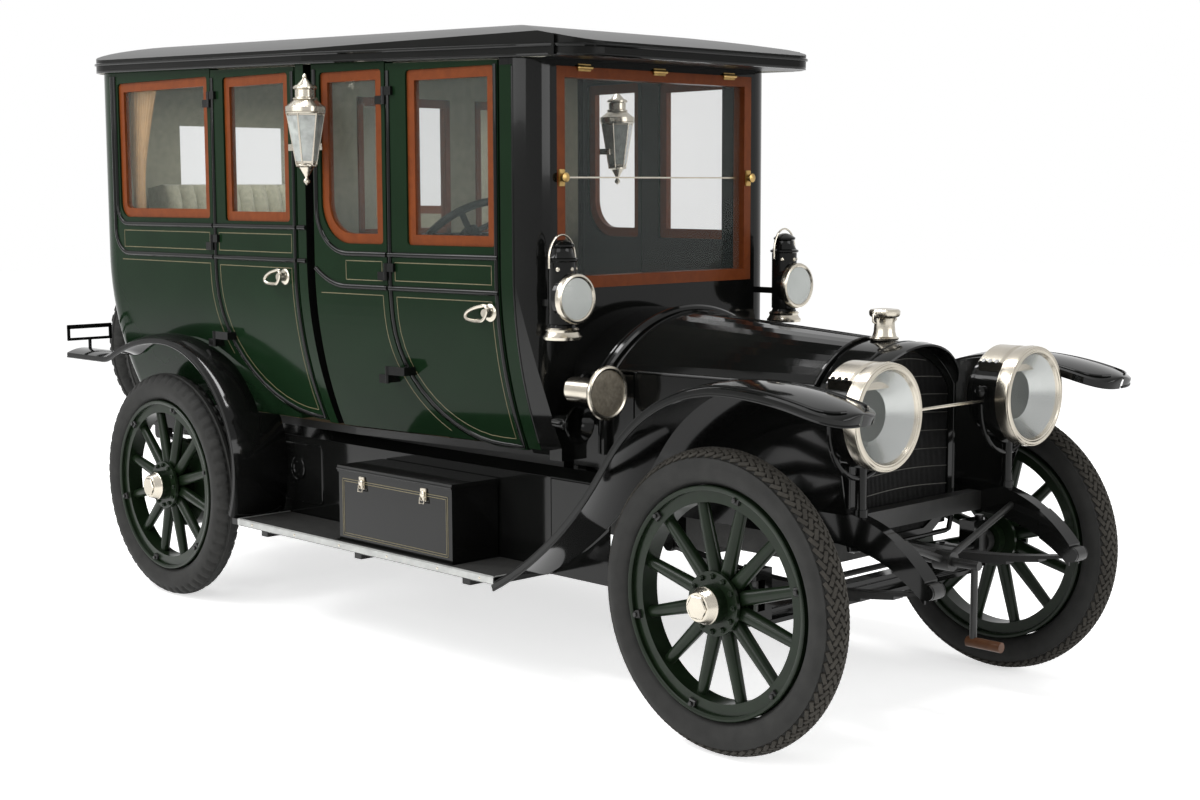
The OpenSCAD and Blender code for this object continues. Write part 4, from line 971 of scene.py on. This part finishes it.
def tool_box():
    latch, gold, lid = builders(3)
    x0, x1, y, z0, z1 = 1.218, 1.858, -0.752, 0.3963, 0.6463
    for x in (1.36, 1.71):
        latch.block((x - 0.016, x + 0.016), (y - 0.0065, y - 0.0002), (0.598, 0.642), 0.002)
        latch.lathe(at(x, y - 0.005, 0.622), (0, -1, 0), [(0, 12), (6, 12), (9, 8), (10, 2)], 20)
        hasp = ((-0.012, 0.009, 0.612), (-0.012, 0.012, 0.59), (0.012, 0.012, 0.59), (0.012, 0.009, 0.612))
        latch.tube([at(x + a, y - b, z) for a, b, z in hasp], 0.0028)
    half = 0.0012
    depth = (y - 0.0009, y - 0.0001)
    for g in (0.022, 0.03):
        for z in (z0 + g, z1 - g):
            gold.block((x0 + g - half, x1 - g + half), depth, (z - half, z + half))
        for x in (x0 + g, x1 - g):
            gold.block((x - half, x + half), depth, (z0 + g - half, z1 - g + half))
    latch.done("tool_box_latches", NICKEL)
    gold.done("tool_box_gold_lines", GOLD)
    rim = ((x0 - 0.004, -0.548), (x0 - 0.004, y - 0.004), (x1 + 0.004, y - 0.004), (x1 + 0.004, -0.548))
    lid.tube([at(a, b, 0.6585) for a, b in rim], 0.0045)
    lid.done("tool_box_lid_bead", BLACK, "tool_box_lid")


roof_trim()
on_both_sides(running_board)
tool_box()


# Windscreen, seats and cabin
def windscreen():
    brass, seam = builders(2)
    x = 2.100
    for y in (-0.36, 0.0, 0.36):
        brass.block((x - 0.001, x + 0.005), (y - 0.03, y + 0.03), (2.048, 2.072), 0.0015)
        brass.lathe(at(x + 0.006, y - 0.034, 2.061), (0, 1, 0), [(0, 4), (2, 7), (66, 7), (68, 4)], 14)
    for y in (-0.466, 0.466):
        brass.block((x - 0.001, x + 0.006), (y - 0.014, y + 0.014), (1.668, 1.724), 0.002)
        brass.lathe(at(x + 0.005, y, 1.697), FORWARD, [(0, 12), (10, 12), (13, 16), (20, 16), (24, 6)], 18)
    seam.block((x - 0.031, x - 0.021), (-0.4477, 0.4477), (1.6945, 1.7), 0.001)
    brass.done("windscreen_fittings", BRASS)
    seam.done("windscreen_seam", NICKEL)


PLEAT_STEPS = 8
PLEAT_DEPTH = 0.022
CUSHION_ROWS = 14


def pleated(name, xs, half, zs, count, mat, face, node=None):
    """Upholstered block whose face is sewn into rounded channels; face is the axis the channels stand on."""
    cushion = Builder()
    (x0, x1), (z0, z1) = xs, zs
    total = count * PLEAT_STEPS
    rings = []
    for i in range(total + 1):
        y = half * (2 * i / total - 1)
        bulge = (abs(sin(pi * i / PLEAT_STEPS)) ** 0.6 - 1) * PLEAT_DEPTH - 0.03
        ring = []
        for k in range(CUSHION_ROWS + 1):
            t = k / CUSHION_ROWS
            out = bulge + 0.035 * (1 - abs(2 * t - 1) ** 4)
            ring.append((x1 + out, z0 + (z1 - z0) * t) if face == "x" else (x0 + (x1 - x0) * t, z1 + out))
        if face == "x":
            ring += [(x1 - 0.06, z1 + 0.006), (x0, z1 - 0.01), (x0, z0)]
        else:
            ring += [(x1 + 0.004, z1 - 0.08), (x1 - 0.01, z0), (x0, z0)]
        rings.append([at(x, y, z) for x, z in ring])
    cushion.rings(rings)
    obj = cushion.done(name, mat, angle=radians(60))
    if node:
        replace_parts(obj, node)


def seats():
    z = 0.7663
    pleated("rear_cushion", (-0.395, 0.215), 0.465, (z + 0.22, z + 0.40), 11, CLOTH, "z", "rear_seat")
    pleated("rear_back", (-0.525, -0.345), 0.475, (z + 0.41, z + 0.91), 13, CLOTH, "x")
    pleated("front_cushion", (1.165, 1.515), 0.465, (z + 0.19, z + 0.34), 11, LEATHER, "z", "front_seat")
    pleated("front_back", (1.055, 1.155), 0.465, (z + 0.345, z + 0.72), 12, LEATHER, "x")
    frames = Builder()
    for xs, half, low, high in (((-0.400, 0.205), 0.470, 0, 0.222), ((-0.530, -0.40), 0.480, 0.3, 0.412),
                                ((1.05, 1.505), 0.470, 0, 0.192), ((1.05, 1.16), 0.470, 0.19, 0.346)):
        frames.block(xs, (-half, half), (z + low, z + high), 0.006)
    frames.done("seat_frames", PLANK)


def curtain(name, side):
    """Gathered blind at the back of the quarter window."""
    cols, rows, folds = 48, 16, 8
    x0, x1, y0, z0, z1 = -0.365, -0.165, side * 0.632, 1.53, 2.09
    cloth, rod = builders(2)
    rings = []
    for f in (i / cols for i in range(cols + 1)):
        ring = []
        for g in (j / rows for j in range(rows + 1)):
            deep = 0.010 * (0.75 + 0.25 * sin(5 * f + 2 * g))
            wave = deep * sin(2 * pi * folds * f) + 0.004 * sin(7 * f + 3 * g)
            x = x0 + (x1 - x0) * (0.42 + 0.58 * g * g) * f + 0.006 * sin(9 * g + f) * (1 - g)
            ring.append(at(x, y0 + side * wave, z0 + (z1 - z0) * g))
        rings.append(ring)
    cloth.rings(rings, closed=False)
    obj = cloth.done(name, CURTAIN, angle=radians(70))
    rod.tube([at(x, y0, z1) for x in (x0 - 0.02, x1 + 0.02)], 0.005)
    for x in (x0 - 0.015, x1 + 0.015):
        rod.tube([at(x, y, z1) for y in (y0, side * 0.657)], 0.005)
    rod.done(name + "_rod", BRASS)


def cabin():
    rails, panes = builders(2)
    xs, z0, z1 = (1.006, 1.038), 1.480, 2.0
    for y in (-0.285, 0.285):
        y0, y1 = y - 0.222, y + 0.222
        for ys, zs in (((y0, y0 + 0.03), (z0, z1)), ((y1 - 0.03, y1), (z0, z1)),
                       ((y0, y1), (z0, z0 + 0.032)), ((y0, y1), (z1 - 0.032, z1))):
            rails.block(xs, ys, zs, 0.004)
        panes.block((1.020, 1.024), (y - 0.193, y + 0.193), (1.511, 1.969))
    rails.done("division_rails", MAHOGANY)
    panes.done("division_panes", GLASS)


windscreen()
seats()
for side, tag in SIDES:
    curtain("quarter_curtain_" + tag, side)
cabin()


# Wings
WING_Y = (0.556, 0.806)
TIP = 0.120
FRONT_WING = ((2.112, 0.392, 27), ((1.400, 27), (0.062, 0), (0.600, -54), (1.300, -18)))
REAR_WING = ((0.596, 0.3963, 66), ((0.450, 54), (0.560, 60), (0.950, 25), (0.150, -25), (0.298, 0)))


def wing_point(x, z, h, size, turn, f):
    """Point and heading at a share of a straight or of an arc, whose size is its length or its radius."""
    if not turn:
        return x + f * size * cos(h), z + f * size * sin(h), h
    s, end = copysign(size, turn), h + radians(turn) * f
    return x + s * (sin(end) - sin(h)), z + s * (cos(h) - cos(end)), end


def wing_path(start, segments):
    """Points along a wing's crown, each (x, z, heading in radians), closer together at its end."""
    here = (start[0], start[1], radians(start[2]))
    points = []
    for i, (size, turn) in enumerate(segments):
        if i == len(segments) - 1:
            shares = [sin(pi / 2 * t) for t in steps(40, 0, 1)]
        else:
            shares = steps(max(6, int(abs(turn) / 2)) if turn else max(2, int(size / 0.04)), 0, 1)
        points += [wing_point(*here, size, turn, f) for f in shares]
        here = wing_point(*here, size, turn, 1)
    return points + [here]


CROWN = 0.018
LIP = 0.020
LIP_DROP = 0.036
SHEET = 0.003


def wing_ring(p, y0, y1, side, way, inner=0.0, n=16):
    """Section of a wing: its crown, its outer and inner lips and its underside."""
    x, z, h = p
    mid, half = (y0 + y1) / 2, (y1 - y0) / 2
    crown = lambda y: (-CROWN * ((y - mid) / half) ** 2, y)
    ring = [crown(y0 + 2 * half * k / n) for k in range(n + 1)]
    ring += [(-CROWN - LIP * 0.4, y1 + 0.0012), (-CROWN - LIP, y1)]
    ring += [(-CROWN - LIP, y1 - SHEET), (-CROWN - LIP * 0.4, y1 - SHEET)]
    for k in range(n, -1, -1):
        q, y = crown(y0 + (2 * half - SHEET) * k / n)
        ring.append((q - SHEET, y))
    low = -CROWN - SHEET - inner * 0.9
    ring += [(low, y0 + SHEET), (low, y0), (-CROWN - inner * 0.5, y0)]
    return [at(x - way * q * sin(h), side * y, z + way * q * cos(h)) for q, y in ring]


def wing_inner(z):
    return 0.560 if z < 0.742 else BODY_W - inset(z) + 0.006


def rounded(f):
    """Share of the width left at a share of the way to a rounded end."""
    return max(0.0, 1 - max(0.0, f) ** 2.6) ** (1 / 2.6)


def wing_pair(side, tag):
    """Front and rear wing of one side, with their beads."""
    front, rear = wing_path(*FRONT_WING), wing_path(*REAR_WING)
    tip_x = front[-1][0] - TIP
    mid, full = (WING_Y[0] + WING_Y[1]) / 2, (WING_Y[1] - WING_Y[0]) / 2
    wing, bead = builders(2)
    rings, edge, skirt = [], [], []
    for x, z, h in front:
        half = full if x < tip_x else full * (0.06 + 0.94 * rounded((x - tip_x) / TIP))
        curl = 0.022 * min(1.0, max(0.0, (x - 3.20) / 0.12))
        rings.append(wing_ring((x, z, h), mid - half, mid + half, side, 1, curl))
        edge.append(at(x + LIP_DROP * sin(h), side * (mid + half - 0.002), z - LIP_DROP * cos(h)))
        # skirt from the inner edge down to the frame
        if z > 0.770 and x < 3.330:
            low = -(z - 0.702) / cos(h)
            section = ((low, 0.410), (-0.019, 0.5565), (-0.019, 0.562), (low, 0.415))
            skirt.append([at(x - q * sin(h), side * y, z + q * cos(h)) for q, y in section])
    wing.rings(rings)
    wing.rings(skirt)
    bead.tube(edge, 0.0045)
    for way in (-1, 1):
        ridge = []
        for x, z, h in front:
            f = (x - tip_x) / (TIP - 0.020)
            reach = 0.104 * rounded(f)
            if f < 1:
                ridge.append(at(x, side * (mid + way * reach), z - CROWN * (reach / full) ** 2 + 0.0005))
        bead.tube(ridge, 0.004)
    obj = wing.done("front_wing_" + tag, BLACK)
    bead.done("front_wing_bead_" + tag, BLACK)
    if side == RIGHT:
        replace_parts(obj, "front_wings")
    wing, bead = builders(2)
    rings, edge = [], []
    for x, z, h in rear:
        y0 = wing_inner(z - 0.040) if degrees(h) < 120 else max(wing_inner(z), 0.652)
        rings.append(wing_ring((x, z, h), y0, WING_Y[1], side, -1))
        edge.append(at(x - LIP_DROP * sin(h), side * (WING_Y[1] - 0.002), z + LIP_DROP * cos(h)))
    wing.rings(rings)
    bead.tube(edge, 0.0045)
    obj = wing.done("rear_wing_" + tag, BLACK)
    bead.done("rear_wing_bead_" + tag, BLACK)
    if side == RIGHT:
        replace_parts(obj, "rear_wings")


def plate_bracket():
    """Empty number plate bracket on the right rear wing's tail."""
    b = Builder()
    x, y = -0.640, -0.715
    xs, z0, z1 = (x - 0.004, x + 0.004), 1.016, 1.084
    b.lathe(at(x, y, 0.955), UP, [(0, 18), (22, 16), (26, 7), (64, 7)], 20)
    for zs in ((z0, 1.028), (1.066, z1)):
        b.block(xs, (y - 0.105, y + 0.105), zs, 0.0015)
    for s in (-1, 1):
        b.block(xs, (y + s * 0.105, y + s * 0.092), (z0, z1), 0.0015)
        b.lathe(at(x - 0.0045, y + s * 0.075, 1.074), (-1, 0, 0), [(0, 7), (3, 6), (4, 3)], 14)
    b.done("plate_bracket", BLACK)


on_both_sides(wing_pair)
plate_bracket()
